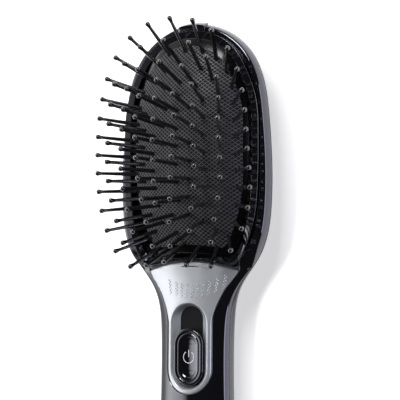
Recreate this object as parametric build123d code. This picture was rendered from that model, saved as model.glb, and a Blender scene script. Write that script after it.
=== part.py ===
"""Battery-powered ionic styling brush: a paddle head with a domed, pinned cushion and a slim handle.

Millimetres, +Z up. The brush lies on its back with the pins up and the head towards +Y.
The origin is the centre of the flat face under the head. The object is mirrored about X = 0.
"""
import os
from math import cos, hypot, pi, sin, sqrt, tan

from build123d import *

os.makedirs("parts", exist_ok=True)

# Overall shells
HEAD_HALF_WIDTH = 35.7
HEAD_TOP = 55.8
NECK_HALF_WIDTH = 16.2
GRIP_HALF_WIDTH = 17.2
HANDLE_END = -190.0
SEAM_Z = 13.0
WALL = 1.8
FRONT_T = 2.2
SEAM_GAP = 0.3

# Back of the shells: how far the flat resting face lies inside the seam line
HEAD_BACK_INSET = 16.0
HANDLE_BACK_INSET = 11.0

# Front of the shells: how far the wall leans in by the top, and the height of the front faces
HEAD_FRONT_INSET = 6.0
HANDLE_FRONT_INSET = 10.0
FRONT_RISE = 7.4
HEAD_FACE_Z = 17.6
HANDLE_FACE_Z = 19.8
HEAD_CROWN_R = 2000.0
HANDLE_CROWN_R = 32.7

# Removable pad: frame, rubber cushion and base plate
PAD_MARGIN = 3.3
PAD_LEDGE = 1.9
PAD_EDGE_Z = 19.0
PAD_LIP_T = 1.1
PAD_RING = 3.0
PAD_CORNER_R = 2.0
WELL_FLOOR_Z = 12.2
WELL_FLOOR_T = 1.2
WELL_WALL = 1.0
PAD_BASE_T = 1.2
CUSHION_T = 1.3
CUSHION_PEAK_Z = 30.2
CUSHION_CROSS_R = 38.3
CUSHION_LENGTH_R = 109.5
CUSHION_CREST_Y = 3.3
FIT_GAP = 0.3
PEG_R = 2.0
PEG_LENGTH = 4.6
TAB_HALF_WIDTH = 6.5
TAB_PROUD = 0.8

# Ball-tipped pins
PIN_LENGTH = 17.4
PIN_BALL_R = 1.1
PIN_NECK_R = 0.62
PIN_ROOT_R = 0.95
PIN_FOOT_R = 1.7
PIN_FOOT_T = 0.8
PIN_SIDES = 6

# Face plate and its slit
PLATE_T = 1.2
PLATE_TOP_Y = -44.0
PLATE_TOP_HALF_WIDTH = 21.6
PLATE_WAIST_HALF_WIDTH = 10.5
PLATE_END_Y = -99.0
SLIT_LENGTH = 9.0
SLIT_WIDTH = 0.8
SLIT_Y = -46.4

# Power switch: a dished slider in a shallow stadium-shaped well
WELL_TOP_Y = -61.8
WELL_BOTTOM_Y = -96.4
WELL_RIM_HALF_WIDTH = 8.4
WELL_BED_HALF_WIDTH = 5.4
WELL_BED_Z = 16.4
FUNNEL_LIP = 0.9
WELL_RIM_DEPTH = 2.4
TRAY_FLANGE_T = 0.8
BUTTON_HALF_WIDTH = 7.0
BUTTON_LENGTH = 23.7
BUTTON_BOTTOM_Y = -95.4
BUTTON_TOP_Z = 19.5
BUTTON_DISH = 0.7
SWITCH_TRAVEL = 8.0
STEM_HALF_WIDTH = 1.6
STEM_LENGTH = 6.0

# Electronics
BOARD_T = 1.6
BOARD_TOP_Z = 8.0
BOARD_HALF_WIDTH = 10.5
BOARD_NEAR_Y = -58.0
BOARD_FAR_Y = -104.0
POST_R = 2.0
STUD_R = 0.95
SWITCH_CASE_HALF_WIDTH = 3.5
SWITCH_CASE_LENGTH = 26.0
SWITCH_CASE_H = 2.8
GENERATOR_SIZE = (22.0, 20.0, 8.4)
GENERATOR_Y = -24.0
NEEDLE_R = 0.4
NEEDLE_X = 2.2
WIRE_R = 0.6

# Two AAA cells side by side, and the door that closes their bay
CELL_R = 5.25
CELL_LENGTH = 44.5
CELL_NUB_R = 1.9
CELL_NUB_LENGTH = 1.2
CELL_X = 5.6
CELL_Z = 7.6
CELL_NEAR_Y = -119.6
DOOR_SPLIT_Y = -110.0
TRAY_HALF_WIDTH = 12.9
TRAY_TOP_Z = 14.5
DOOR_GAP = 0.9
TONGUE_HALF_WIDTH = 1.6
TONGUE_Z = 3.2
CONTACT_T = 0.4
CONTACT_DEPTH = 1.8

# Self-tapping screws
SCREW_R = 1.1
SCREW_HEAD_R = 2.2
SCREW_HEAD_T = 1.4
SCREW_LENGTH = 6.0
BOSS_R = 3.0


def blend(start, end, value):
    """Smooth step from 0 at start to 1 at end."""
    t = min(max((value - start) / (end - start), 0.0), 1.0)
    return t * t * (3 - 2 * t)


def mix(a, b, share):
    return a + (b - a) * share


# Seam line, the widest outline of the shells, right half from the head top to the handle end
SEAM_HALF = [
    (0.0, HEAD_TOP),
    (0.294 * HEAD_HALF_WIDTH, HEAD_TOP - 1.9),
    (0.560 * HEAD_HALF_WIDTH, HEAD_TOP - 7.0),
    (0.762 * HEAD_HALF_WIDTH, HEAD_TOP - 14.6),
    (0.891 * HEAD_HALF_WIDTH, HEAD_TOP - 24.8),
    (0.964 * HEAD_HALF_WIDTH, 15.0),
    (HEAD_HALF_WIDTH, -3.0),
    (0.997 * HEAD_HALF_WIDTH, -20.0),
    (0.936 * HEAD_HALF_WIDTH, -35.0),
    (0.790 * HEAD_HALF_WIDTH, -45.2),
    (NECK_HALF_WIDTH + 5.2, -52.6),
    (NECK_HALF_WIDTH + 1.5, -60.0),
    (NECK_HALF_WIDTH, -72.0),
    (NECK_HALF_WIDTH, -100.0),
    (GRIP_HALF_WIDTH, -140.0),
    (GRIP_HALF_WIDTH - 0.4, HANDLE_END + 21.0),
    (GRIP_HALF_WIDTH - 5.0, HANDLE_END + 5.6),
    (0.0, HANDLE_END),
]


def inset_half(points, inset):
    """Move each point of a right-hand half outline inwards, square to the outline."""
    moved = []
    for i, (x, y) in enumerate(points):
        if x == 0.0:
            moved.append((0.0, y - inset(y) if i == 0 else y + inset(y)))
            continue
        before = points[i - 1]
        after = points[min(i + 1, len(points) - 1)]
        dx, dy = after[0] - before[0], after[1] - before[1]
        run = hypot(dx, dy)
        moved.append((x + inset(y) * dy / run, y - inset(y) * dx / run))
    return moved


def run_shares(points):
    """Share of the whole run at which each point of a half outline lies."""
    run = [0.0]
    for before, after in zip(points, points[1:]):
        run.append(run[-1] + hypot(after[0] - before[0], after[1] - before[1]))
    return [length / run[-1] for length in run]


SEAM_SHARES = run_shares(SEAM_HALF)


def half_wire(half, z):
    """Right-hand section: the half outline, square to the mirror plane at both ends."""
    start_speed = hypot(half[1][0], half[1][1] - half[0][1]) / SEAM_SHARES[1]
    end_speed = hypot(half[-2][0], half[-2][1] - half[-1][1]) / (1 - SEAM_SHARES[-2])
    side = Edge.make_spline(
        [(x, y, z) for x, y in half],
        tangents=[(start_speed, 0, 0), (-end_speed, 0, 0)],
        parameters=SEAM_SHARES,
        scale=False,
    )
    return Wire([side, Edge.make_line((0, half[-1][1], z), (0, half[0][1], z))])


def loft_both_sides(wires):
    half = Solid.make_loft(wires, ruled=True)
    return half + half.mirror(Plane.YZ)


def back_form(wall=0.0):
    """Bowl under the seam: full under the head, fuller still along the handle."""
    wires = []
    for share in (0.0, 0.35, 0.62, 0.83, 0.95, 1.0):

        def inset(y, share=share):
            towards_grip = blend(-35.0, -70.0, y)
            power = mix(1.35, 2.0, towards_grip)
            lean = 1 - (1 - share**power) ** (1 / power)
            reach = mix(HEAD_BACK_INSET, HANDLE_BACK_INSET, towards_grip) - 0.8 * wall
            return wall + lean * reach

        wires.append(half_wire(inset_half(SEAM_HALF, inset), SEAM_Z - share * (SEAM_Z - wall)))
    return loft_both_sides(wires)


def front_wall_form(wall=0.0, below=0.0):
    """Side wall of the front shell, taller than its crowned face."""
    wires = []
    if below > 0:
        wires.append(half_wire(inset_half(SEAM_HALF, lambda y: wall), SEAM_Z - below))
    for share in (0.0, 0.35, 0.65, 0.86, 0.98):

        def inset(y, share=share):
            towards_grip = blend(-35.0, -70.0, y)
            lean = 1 - sqrt(1 - share**2)
            return wall + lean * mix(HEAD_FRONT_INSET, HANDLE_FRONT_INSET, towards_grip)

        wires.append(half_wire(inset_half(SEAM_HALF, inset), SEAM_Z + share * FRONT_RISE))
    return loft_both_sides(wires)


def crown_form(drop=0.0):
    """Everything under the front face: nearly flat over the head, arched across the handle."""
    wires = []
    head_end, grip_start = -36.0, -72.0
    stations = [HEAD_TOP + 6, head_end, -45.0, -54.0, -63.0, grip_start, HANDLE_END - 5]
    for y in stations:
        towards_grip = blend(head_end, grip_start, y)
        half_width = mix(HEAD_HALF_WIDTH + 5, GRIP_HALF_WIDTH + 6, sqrt(towards_grip))
        grip_sag = HANDLE_CROWN_R - sqrt(max(HANDLE_CROWN_R**2 - half_width**2, 0.0))
        sag = mix(half_width**2 / (2 * HEAD_CROWN_R), grip_sag, towards_grip)
        top = mix(HEAD_FACE_Z, HANDLE_FACE_Z, towards_grip) - drop
        left, right = (-half_width, y, top - sag), (half_width, y, top - sag)
        arc = Edge.make_three_point_arc(left, (0, y, top), right)
        skirt = [right, (half_width, y, 1), (-half_width, y, 1), left]
        sides = [Edge.make_line(start, end) for start, end in zip(skirt, skirt[1:])]
        wires.append(Wire([arc, *sides]))
    return Solid.make_loft(wires, ruled=True)


def arc_chain(points, first, last):
    """Smooth chain of paired arcs through points in the XY plane, from one tangent to another."""
    places = [Vector(x, y) for x, y in points]
    tangents = [Vector(*first).normalized()]
    for before, here, after in zip(places, places[1:], places[2:]):
        back, ahead = here - before, after - here
        lean = back / back.length**2 + ahead / ahead.length**2
        tangents.append(lean.normalized())
    tangents.append(Vector(*last).normalized())
    edges = []
    for start, end, t_start, t_end in zip(places, places[1:], tangents, tangents[1:]):
        run = end - start
        a = 2 * (1 - t_start.dot(t_end))
        b = 2 * run.dot(t_start + t_end)
        c = -run.dot(run)
        reach = -c / b if a < 1e-9 else (-b + sqrt(b * b - 4 * a * c)) / (2 * a)
        joint = (start + t_start * reach + end - t_end * reach) / 2
        edges.append(arc_or_line(start, joint, t_start))
        edges.append(arc_or_line(end, joint, t_end * -1))
    return edges


def arc_or_line(start, end, tangent):
    if tangent.cross((end - start).normalized()).length < 1e-4:
        return Edge.make_line(start, end)
    return Edge.make_tangent_arc(start, tangent, end)


def slab(x, y, z):
    """Box between two values on each axis."""
    size = Box(x[1] - x[0], y[1] - y[0], z[1] - z[0])
    return Pos((x[0] + x[1]) / 2, (y[0] + y[1]) / 2, (z[0] + z[1]) / 2) * size


def rod(x, y, z_low, z_high, radius):
    """Upright cylinder between two heights."""
    return Pos(x, y, (z_low + z_high) / 2) * Cylinder(radius, z_high - z_low)


def raised(face, z_low, z_high):
    """Prism over a face drawn at z = 0."""
    return extrude(Pos(0, 0, z_low) * face, amount=z_high - z_low, dir=(0, 0, 1))


def stadium_wire(half_width, y_low, y_high, z):
    """Upright stadium outline between two ends on the mirror plane."""
    low, high = y_low + half_width, y_high - half_width
    right = Line((half_width, low, z), (half_width, high, z))
    top = ThreePointArc((half_width, high, z), (0, y_high, z), (-half_width, high, z))
    left = Line((-half_width, high, z), (-half_width, low, z))
    bottom = ThreePointArc((-half_width, low, z), (0, y_low, z), (half_width, low, z))
    return Wire([right.edge(), top.edge(), left.edge(), bottom.edge()])


def stadium(half_width, y_low, y_high, z_low, z_high):
    return raised(Face(stadium_wire(half_width, y_low, y_high, 0)), z_low, z_high)


def save(name, *solids):
    """Write one node as a single solid or a group of separate ones."""
    pieces = []
    for solid in solids:
        pieces.extend(solid.solids())
    shape = pieces[0] if len(pieces) == 1 else Compound(children=pieces)
    export_step(shape, f"parts/{name}.step")


# Outline of the removable pad, which stops at the face plate's curved top edge
PAD_NODES = [0, 2, 4, 6, 8]


def pad_face(inset=0.0):
    seam = inset_half(SEAM_HALF, lambda y: PAD_MARGIN + inset + 1.7 * blend(-12.0, -38.0, y))
    half = [seam[i] for i in PAD_NODES]
    half[0] = (0.0, HEAD_TOP - PAD_MARGIN - 0.5 - inset)
    corner = (PLATE_TOP_HALF_WIDTH + 0.4 - 0.45 * inset, PLATE_TOP_Y - 3.0 + 1.05 * inset)
    bottom = (0.0, PLATE_TOP_Y + FIT_GAP + inset)
    right = arc_chain([*half, corner], (1, 0), (-0.45, -0.9))
    left = [edge.mirror(Plane.YZ) for edge in right]
    edge = Edge.make_three_point_arc(corner, bottom, (-corner[0], corner[1]))
    face = Face(Wire([*right, edge, *left]))
    corners = face.vertices().sort_by(Axis.Y)[:2]
    return fillet(corners, PAD_CORNER_R)


# Outline of the face plate: curved top, waist, straight sides and a round lower end
def plate_face(grow=0.0):
    top_corner = (PLATE_TOP_HALF_WIDTH + grow, PLATE_TOP_Y - 3.7 + grow)
    waist = PLATE_WAIST_HALF_WIDTH + grow
    flank = [
        top_corner,
        (PLATE_WAIST_HALF_WIDTH + 4.5 + grow, PLATE_TOP_Y - 12.6),
        (waist, PLATE_TOP_Y - 26.0),
    ]
    side_end = PLATE_END_Y + PLATE_WAIST_HALF_WIDTH
    end = (0.0, PLATE_END_Y - grow)
    top = ThreePointArc((-top_corner[0], top_corner[1]), (0, PLATE_TOP_Y + grow), top_corner)
    edges = [top.edge()]
    for side in (1, -1):
        points = [(side * x, y) for x, y in flank]
        edges.extend(arc_chain(points, (-side * 0.55, -1), (0, -1)))
        edges.append(Line(points[-1], (side * waist, side_end)).edge())
        diagonal = (side * waist * sin(pi / 4), side_end - (side_end - end[1]) * sin(pi / 4))
        edges.append(ThreePointArc((side * waist, side_end), diagonal, end).edge())
    return Face(Wire(edges))


# Heights that several pieces share
PAD_BASE_Z = WELL_FLOOR_Z + FIT_GAP
FLANGE_Z = PAD_BASE_Z + PAD_BASE_T
FLANGE_TOP_Z = FLANGE_Z + CUSHION_T
FLOOR_UNDER_Z = WELL_FLOOR_Z - WELL_FLOOR_T
SEAT_Z = FLOOR_UNDER_Z - 1.6
BUTTON_TOP_Y = BUTTON_BOTTOM_Y + BUTTON_LENGTH
STEM_Y = (BUTTON_BOTTOM_Y + BUTTON_TOP_Y) / 2
HEAD_SCREWS = [(23.0, 27.0), (-23.0, 27.0), (23.0, -19.0), (-23.0, -19.0)]
PEGS = [(15.0, 38.0), (-15.0, 38.0), (15.0, -33.0), (-15.0, -33.0)]
BOARD_POSTS = [(8.0, -62.0), (-8.0, -62.0), (8.0, -100.0), (-8.0, -100.0)]
CELL_FAR_Y = CELL_NEAR_Y - CELL_LENGTH
TRAY_WALL = 1.6
TRAY_NEAR_WALL_Y = CELL_NEAR_Y + CONTACT_DEPTH + TRAY_WALL
TRAY_FAR_WALL_Y = CELL_FAR_Y - 2.2 * CONTACT_DEPTH
TRAY_PLATE_Z = SEAM_Z - 0.2
TRAY_SCREWS = [TRAY_NEAR_WALL_Y + 5.0, TRAY_FAR_WALL_Y - 5.0]
SOCKET_R = PEG_R + 0.25
RAIL_Z = (9.1, 10.3)
WINDOW_HALF_WIDTH = WELL_RIM_HALF_WIDTH + FUNNEL_LIP + FIT_GAP
WINDOW_Y = (WELL_BOTTOM_Y - 1.3, WELL_TOP_Y + 1.5)


def make_rear_housing():
    """Bowl-shaped rear shell of the head and upper handle, with its bosses and board posts."""
    shell = back_form() - back_form(WALL)
    form = back_form()
    for x, y in HEAD_SCREWS:
        shell += rod(x, y, WALL / 2, SEAT_Z, BOSS_R) & form
    for x, y in BOARD_POSTS:
        shell += rod(x, y, WALL / 2, BOARD_TOP_Z - BOARD_T, POST_R)
        shell += rod(x, y, WALL / 2, BOARD_TOP_Z + 0.6, STUD_R)
    for x, y in HEAD_SCREWS:
        shell -= rod(x, y, SEAT_Z - SCREW_LENGTH + 1.0, SEAT_Z + 1, SCREW_R)
    keep = slab((-60, 60), (DOOR_SPLIT_Y + 0.2, HEAD_TOP + 10), (-1, SEAM_Z))
    return shell & keep


def make_front_housing():
    """Gloss front shell: pad well with a floor, plate recess and switch window."""
    outer = front_wall_form() & crown_form()
    hollow = front_wall_form(WALL, below=2.0) & crown_form(FRONT_T)
    shell = outer - hollow
    rim_y = (WINDOW_Y[0] - 1.2, WINDOW_Y[1] + 1.2)
    shell += stadium(WINDOW_HALF_WIDTH + 1.2, *rim_y, WELL_BED_Z - WELL_RIM_DEPTH, HANDLE_FACE_Z)
    shell += raised(pad_face(PAD_LEDGE - WELL_WALL), FLOOR_UNDER_Z, HEAD_FACE_Z)
    shell &= crown_form()
    for x, y in HEAD_SCREWS:
        shell += rod(x, y, SEAT_Z, FLOOR_UNDER_Z + 0.2, BOSS_R)
    for x, y in PEGS:
        shell += rod(x, y, WELL_FLOOR_Z - PEG_LENGTH, FLOOR_UNDER_Z + 0.2, SOCKET_R + 1.1)
    for y in TRAY_SCREWS:
        shell += rod(0, y, TRAY_TOP_Z, HANDLE_FACE_Z - WALL / 2, BOSS_R)
    shell -= raised(pad_face(PAD_LEDGE), WELL_FLOOR_Z, PAD_EDGE_Z + 5)
    for x, y in HEAD_SCREWS:
        shell -= rod(x, y, SEAT_Z - 1, WELL_FLOOR_Z + 1, SCREW_R + 0.15)
        shell -= rod(x, y, WELL_FLOOR_Z - SCREW_HEAD_T, WELL_FLOOR_Z + 1, SCREW_HEAD_R + 0.2)
    for x, y in PEGS:
        shell -= rod(x, y, WELL_FLOOR_Z - PEG_LENGTH - 1, WELL_FLOOR_Z + 1, SOCKET_R)
    for y in TRAY_SCREWS:
        shell -= rod(0, y, TRAY_TOP_Z - 1, HANDLE_FACE_Z - WALL, SCREW_R)
    shell -= raised(plate_face(0.15), SEAM_Z, HANDLE_FACE_Z + 2) - crown_form(PLATE_T + 0.05)
    shell -= stadium(WINDOW_HALF_WIDTH, *WINDOW_Y, SEAM_Z, 30)
    shell -= slab((-6.5, 6.5), (SLIT_Y - 3.2, SLIT_Y + 1.8), (SEAM_Z, 30))
    notch = TAB_HALF_WIDTH + FIT_GAP
    shell -= slab((-notch, notch), (HEAD_TOP - 9, HEAD_TOP + 5), (FLANGE_TOP_Z - FIT_GAP, 30))
    return shell


def make_face_plate():
    """Silver plate that follows the crown and is drawn down around the switch."""
    plate = raised(plate_face(), SEAM_Z, HANDLE_FACE_Z + 2) & crown_form()
    plate -= crown_form(PLATE_T)
    slope = (WELL_RIM_HALF_WIDTH - WELL_BED_HALF_WIDTH) / 2.2
    rise = 5.0

    def funnel(grow):
        low = stadium_wire(
            WELL_BED_HALF_WIDTH + grow, WELL_BOTTOM_Y + 0.9 - grow, WELL_TOP_Y - 0.7 + grow, WELL_BED_Z
        )
        wide = grow + slope * rise
        high = stadium_wire(
            WELL_BED_HALF_WIDTH + wide,
            WELL_BOTTOM_Y + 0.9 - grow - 0.4 * rise,
            WELL_TOP_Y - 0.7 + grow + 0.4 * rise,
            WELL_BED_Z + rise,
        )
        return Solid.make_loft([low, high], ruled=True)

    plate += funnel(FUNNEL_LIP) & crown_form()
    plate -= funnel(0.0)
    plate -= slab(
        (-SLIT_LENGTH / 2, SLIT_LENGTH / 2), (SLIT_Y - SLIT_WIDTH / 2, SLIT_Y + SLIT_WIDTH / 2), (10, 30)
    )
    return plate


def make_switch_tray():
    """Dark bed of the switch well, flanged behind the housing, with the stem's slot."""
    fit = 0.1
    flange_z = WELL_BED_Z - WELL_RIM_DEPTH
    window = (WINDOW_Y[0] + fit, WINDOW_Y[1] - fit)
    tray = stadium(WINDOW_HALF_WIDTH - fit, *window, flange_z - 0.1, WELL_BED_Z)
    rim = WINDOW_HALF_WIDTH + 1.2
    tray += stadium(rim, WINDOW_Y[0] - 1.2, WINDOW_Y[1] + 1.2, flange_z - TRAY_FLANGE_T, flange_z)
    hollow = (WINDOW_Y[0] + 1.5, WINDOW_Y[1] - 1.5, flange_z - 2, WELL_BED_Z - 1.2)
    tray -= stadium(WINDOW_HALF_WIDTH - 1.5, *hollow)
    slot_low = STEM_Y - STEM_LENGTH / 2 - 0.4
    slot_high = STEM_Y + STEM_LENGTH / 2 + SWITCH_TRAVEL + 0.4
    slot_x = STEM_HALF_WIDTH + 0.35
    return tray - slab((-slot_x, slot_x), (slot_low, slot_high), (10, 20))


def make_switch_button():
    """Dished slider, widest near its top edge, on a flat stem."""
    y_low, y_high = BUTTON_BOTTOM_Y, BUTTON_TOP_Y
    foot = WELL_BED_Z + FIT_GAP
    waist = BUTTON_TOP_Z - 0.9
    taper = BUTTON_HALF_WIDTH - (WELL_BED_HALF_WIDTH - 0.5)
    lower = Solid.make_loft(
        [
            stadium_wire(BUTTON_HALF_WIDTH - taper, y_low + 1.0, y_high - 1.0, foot),
            stadium_wire(BUTTON_HALF_WIDTH, y_low, y_high, waist),
        ],
        ruled=True,
    )
    upper = stadium(BUTTON_HALF_WIDTH, y_low, y_high, waist, BUTTON_TOP_Z)
    button = lower + upper
    top_edges = button.edges().filter_by_position(Axis.Z, BUTTON_TOP_Z - 0.01, BUTTON_TOP_Z + 0.01)
    button = chamfer(top_edges, 0.5)
    dish_r = 30.0
    dish = Cylinder(dish_r, BUTTON_LENGTH - 5, rotation=(90, 0, 0))
    reach = 4.8
    dish = Pos(0, STEM_Y, BUTTON_TOP_Z - BUTTON_DISH + dish_r) * dish
    window = stadium(reach, y_low + 2.2, y_high - 2.2, foot + 1, BUTTON_TOP_Z + 5)
    button -= dish & window
    stem = slab(
        (-STEM_HALF_WIDTH, STEM_HALF_WIDTH),
        (STEM_Y - STEM_LENGTH / 2, STEM_Y + STEM_LENGTH / 2),
        (CARRIER_TOP_Z, foot + 0.5),
    )
    return button + stem


CARRIER_TOP_Z = WELL_BED_Z - WELL_RIM_DEPTH - TRAY_FLANGE_T - FIT_GAP
CARRIER_Z = CARRIER_TOP_Z - 1.7
CASE_TOP_Z = BOARD_TOP_Z + SWITCH_CASE_H
CASE_Y = STEM_Y + SWITCH_TRAVEL / 2
KNOB_HALF = 1.2
KNOB_HALF_LENGTH = 1.5


def make_switch_carrier():
    """Slider under the bed that carries the stem's push to the board switch."""
    carrier = slab((-4.5, 4.5), (STEM_Y - 6, STEM_Y + 6), (CARRIER_Z, CARRIER_TOP_Z))
    pocket_x = KNOB_HALF + 0.05
    pocket_y = KNOB_HALF_LENGTH + 0.05
    return carrier - slab(
        (-pocket_x, pocket_x), (STEM_Y - pocket_y, STEM_Y + pocket_y), (0, CARRIER_Z + 1.2)
    )


def make_switch_knob():
    """Actuator of the board switch, engaged in the carrier."""
    y = (STEM_Y - KNOB_HALF_LENGTH, STEM_Y + KNOB_HALF_LENGTH)
    return slab((-KNOB_HALF, KNOB_HALF), y, (BOARD_TOP_Z + 1.0, CARRIER_Z + 1.1))


def make_switch_case():
    """Metal case of the board switch, slotted for its actuator, with solder lugs."""
    half = SWITCH_CASE_LENGTH / 2
    width = SWITCH_CASE_HALF_WIDTH
    case = slab((-width, width), (CASE_Y - half, CASE_Y + half), (BOARD_TOP_Z, CASE_TOP_Z))
    reach = SWITCH_TRAVEL / 2 + 1.5 + FIT_GAP
    slot = KNOB_HALF + FIT_GAP
    case -= slab((-slot, slot), (CASE_Y - reach, CASE_Y + reach), (BOARD_TOP_Z + 0.7, CASE_TOP_Z + 1))
    return case


def make_circuit_board():
    """Board on the rear housing's posts."""
    board = slab(
        (-BOARD_HALF_WIDTH, BOARD_HALF_WIDTH), (BOARD_FAR_Y, BOARD_NEAR_Y), (BOARD_TOP_Z - BOARD_T, BOARD_TOP_Z)
    )
    for x, y in BOARD_POSTS:
        board -= rod(x, y, 0, 20, STUD_R + 0.1)
    return board


def make_ion_generator():
    """Potted high-voltage block on the floor of the head."""
    width, length, height = GENERATOR_SIZE
    y = (GENERATOR_Y - length / 2, GENERATOR_Y + length / 2)
    block = slab((-width / 2, width / 2), y, (WALL, WALL + height))
    return chamfer(block.edges().filter_by(Axis.Z), 1.5)


HOLDER_Y = (SLIT_Y - 1.8, SLIT_Y + 1.4)
HOLDER_TOP_Z = 12.4


def make_electrode_holder():
    """Upright insulator that carries the two emitter needles under the slit."""
    holder = slab((-5, 5), HOLDER_Y, (WALL, HOLDER_TOP_Z))
    for x in (-NEEDLE_X, NEEDLE_X):
        holder -= rod(x, SLIT_Y, HOLDER_TOP_Z - 3.0, HOLDER_TOP_Z + 1, NEEDLE_R + 0.05)
    return holder


def make_needles():
    """Two pointed emitter needles."""
    stages = [
        (HOLDER_TOP_Z - 3.0, NEEDLE_R),
        (HOLDER_TOP_Z + 2.4, NEEDLE_R),
        (HOLDER_TOP_Z + 3.8, 0.1 * NEEDLE_R),
    ]
    needle = facetted_spindle(stages)
    return [Pos(x, SLIT_Y, 0) * needle for x in (-NEEDLE_X, NEEDLE_X)]


def facetted_spindle(stages):
    """Six-sided turned form: flat facets between rings given as height and radius."""
    rings = []
    for height, radius in stages:
        turns = [2 * pi * i / PIN_SIDES for i in range(PIN_SIDES)]
        rings.append([(radius * cos(turn), radius * sin(turn), height) for turn in turns])
    faces = [Face(Wire.make_polygon(rings[0][::-1])), Face(Wire.make_polygon(rings[-1]))]
    for low, high in zip(rings, rings[1:]):
        for i in range(PIN_SIDES):
            j = (i + 1) % PIN_SIDES
            faces.append(Face(Wire.make_polygon([low[i], low[j], high[j], high[i]])))
    return Solid(Shell(faces))


def wire_pair(x, y_from, y_to, z):
    """Two straight insulated leads, mirrored about the middle."""
    lead = Cylinder(WIRE_R, abs(y_from - y_to), rotation=(90, 0, 0))
    return [Pos(side * x, (y_from + y_to) / 2, z) * lead for side in (-1, 1)]


def make_electrode_wires():
    return wire_pair(3.5, GENERATOR_Y - GENERATOR_SIZE[1] / 2, HOLDER_Y[1], WALL + 0.6 * GENERATOR_SIZE[2])


def make_power_wires():
    z = BOARD_TOP_Z - BOARD_T / 2
    return wire_pair(9.0, GENERATOR_Y - GENERATOR_SIZE[1] / 2, BOARD_NEAR_Y, z)


def make_battery_wires():
    return wire_pair(CELL_X, BOARD_FAR_Y, TRAY_NEAR_WALL_Y, BOARD_TOP_Z - BOARD_T / 2)


def make_cell(x, towards):
    """AAA cell lying along Y with its raised end towards +Y or -Y."""
    body = Cylinder(CELL_R, CELL_LENGTH - CELL_NUB_LENGTH, rotation=(90, 0, 0))
    middle = (CELL_NEAR_Y + CELL_FAR_Y) / 2
    body = Pos(x, middle - towards * CELL_NUB_LENGTH / 2, CELL_Z) * body
    nub_y = middle + towards * (CELL_LENGTH / 2 - CELL_NUB_LENGTH / 2)
    return body + Pos(x, nub_y, CELL_Z) * Cylinder(CELL_NUB_R, CELL_NUB_LENGTH, rotation=(90, 0, 0))


def make_battery_tray():
    """Cradle that hangs from the front shell and holds the cells from above."""
    near, far = TRAY_SCREWS[0] + 4.0, TRAY_SCREWS[1] - 4.0
    width = TRAY_HALF_WIDTH
    inner = CELL_X + CELL_R + 0.4
    skirt = RAIL_Z[0] - FIT_GAP - 1.0
    lower = Part()
    for y in (TRAY_NEAR_WALL_Y, TRAY_FAR_WALL_Y):
        lower += slab((-width, width), (y - TRAY_WALL, y), (WALL + 1.0, TRAY_TOP_Z - 0.5))
    for side in (-1, 1):
        x = sorted((side * inner, side * width))
        lower += slab(x, (TRAY_FAR_WALL_Y - TRAY_WALL, TRAY_NEAR_WALL_Y), (skirt, TRAY_TOP_Z - 0.5))
    lower &= back_form(WALL + DOOR_GAP)
    tray = lower + slab((-width, width), (far, near), (TRAY_PLATE_Z, TRAY_TOP_Z))
    tray -= cell_room()
    for side in (-1, 1):
        groove = sorted((side * (width - 0.7), side * (width + 1)))
        tray -= slab(groove, (far - 1, near + 1), (RAIL_Z[0] - FIT_GAP, RAIL_Z[1] + FIT_GAP))
        lead = Cylinder(WIRE_R + 0.1, 6, rotation=(90, 0, 0))
        tray -= Pos(side * CELL_X, TRAY_NEAR_WALL_Y, BOARD_TOP_Z - BOARD_T / 2) * lead
    for y in TRAY_SCREWS:
        tray -= rod(0, y, 0, 30, SCREW_R + 0.15)
    notch = TONGUE_HALF_WIDTH + 0.5
    return tray - slab((-notch, notch), (far - 20, near + 20), (0, TONGUE_Z + 0.5))


def cell_room():
    """Space for the two cells between the tray's end walls."""
    room = Part()
    for side in (-1, 1):
        tube = Cylinder(CELL_R + 0.25, TRAY_NEAR_WALL_Y - TRAY_WALL - TRAY_FAR_WALL_Y, rotation=(90, 0, 0))
        room += Pos(side * CELL_X, (TRAY_NEAR_WALL_Y - TRAY_WALL + TRAY_FAR_WALL_Y) / 2, CELL_Z) * tube
    return room


def make_leaf(x_low, x_high, wall_y, cell_y):
    """Bent contact strip from a bay wall to a cell's end."""
    away = 1 if cell_y > wall_y else -1
    back = wall_y + away * CONTACT_T
    tip = cell_y - away * CONTACT_T
    outline = Polyline(
        (x_low, wall_y, CELL_Z + 3.6),
        (x_low, back, CELL_Z + 3.6),
        (x_low, back, CELL_Z - 2.0),
        (x_low, tip, CELL_Z - 0.2),
        (x_low, tip, CELL_Z + 1.8),
        (x_low, cell_y, CELL_Z + 2.0),
        (x_low, cell_y, CELL_Z - 0.6),
        (x_low, back + away * 0.1, CELL_Z - 3.0),
        (x_low, wall_y, CELL_Z - 3.6),
        close=True,
    )
    return extrude(Face(Wire(outline.edges())), amount=x_high - x_low, dir=(1, 0, 0))


def make_contacts():
    """Two separate leaves at the board end: one on a raised pole, one on a flat pole."""
    wall = TRAY_NEAR_WALL_Y - TRAY_WALL
    return [
        make_leaf(side * CELL_X - 3, side * CELL_X + 3, wall, CELL_NEAR_Y + 0.15) for side in (-1, 1)
    ]


def make_contact_bridge():
    """Joined leaves at the far end that put the cells in series."""
    wall = TRAY_FAR_WALL_Y
    bridge = slab((-CELL_X - 3, CELL_X + 3), (wall, wall + CONTACT_T), (CELL_Z - 3.6, CELL_Z + 3.6))
    for side in (-1, 1):
        bridge += make_leaf(side * CELL_X - 3, side * CELL_X + 3, wall, CELL_FAR_Y - 0.15)
    return bridge


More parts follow.
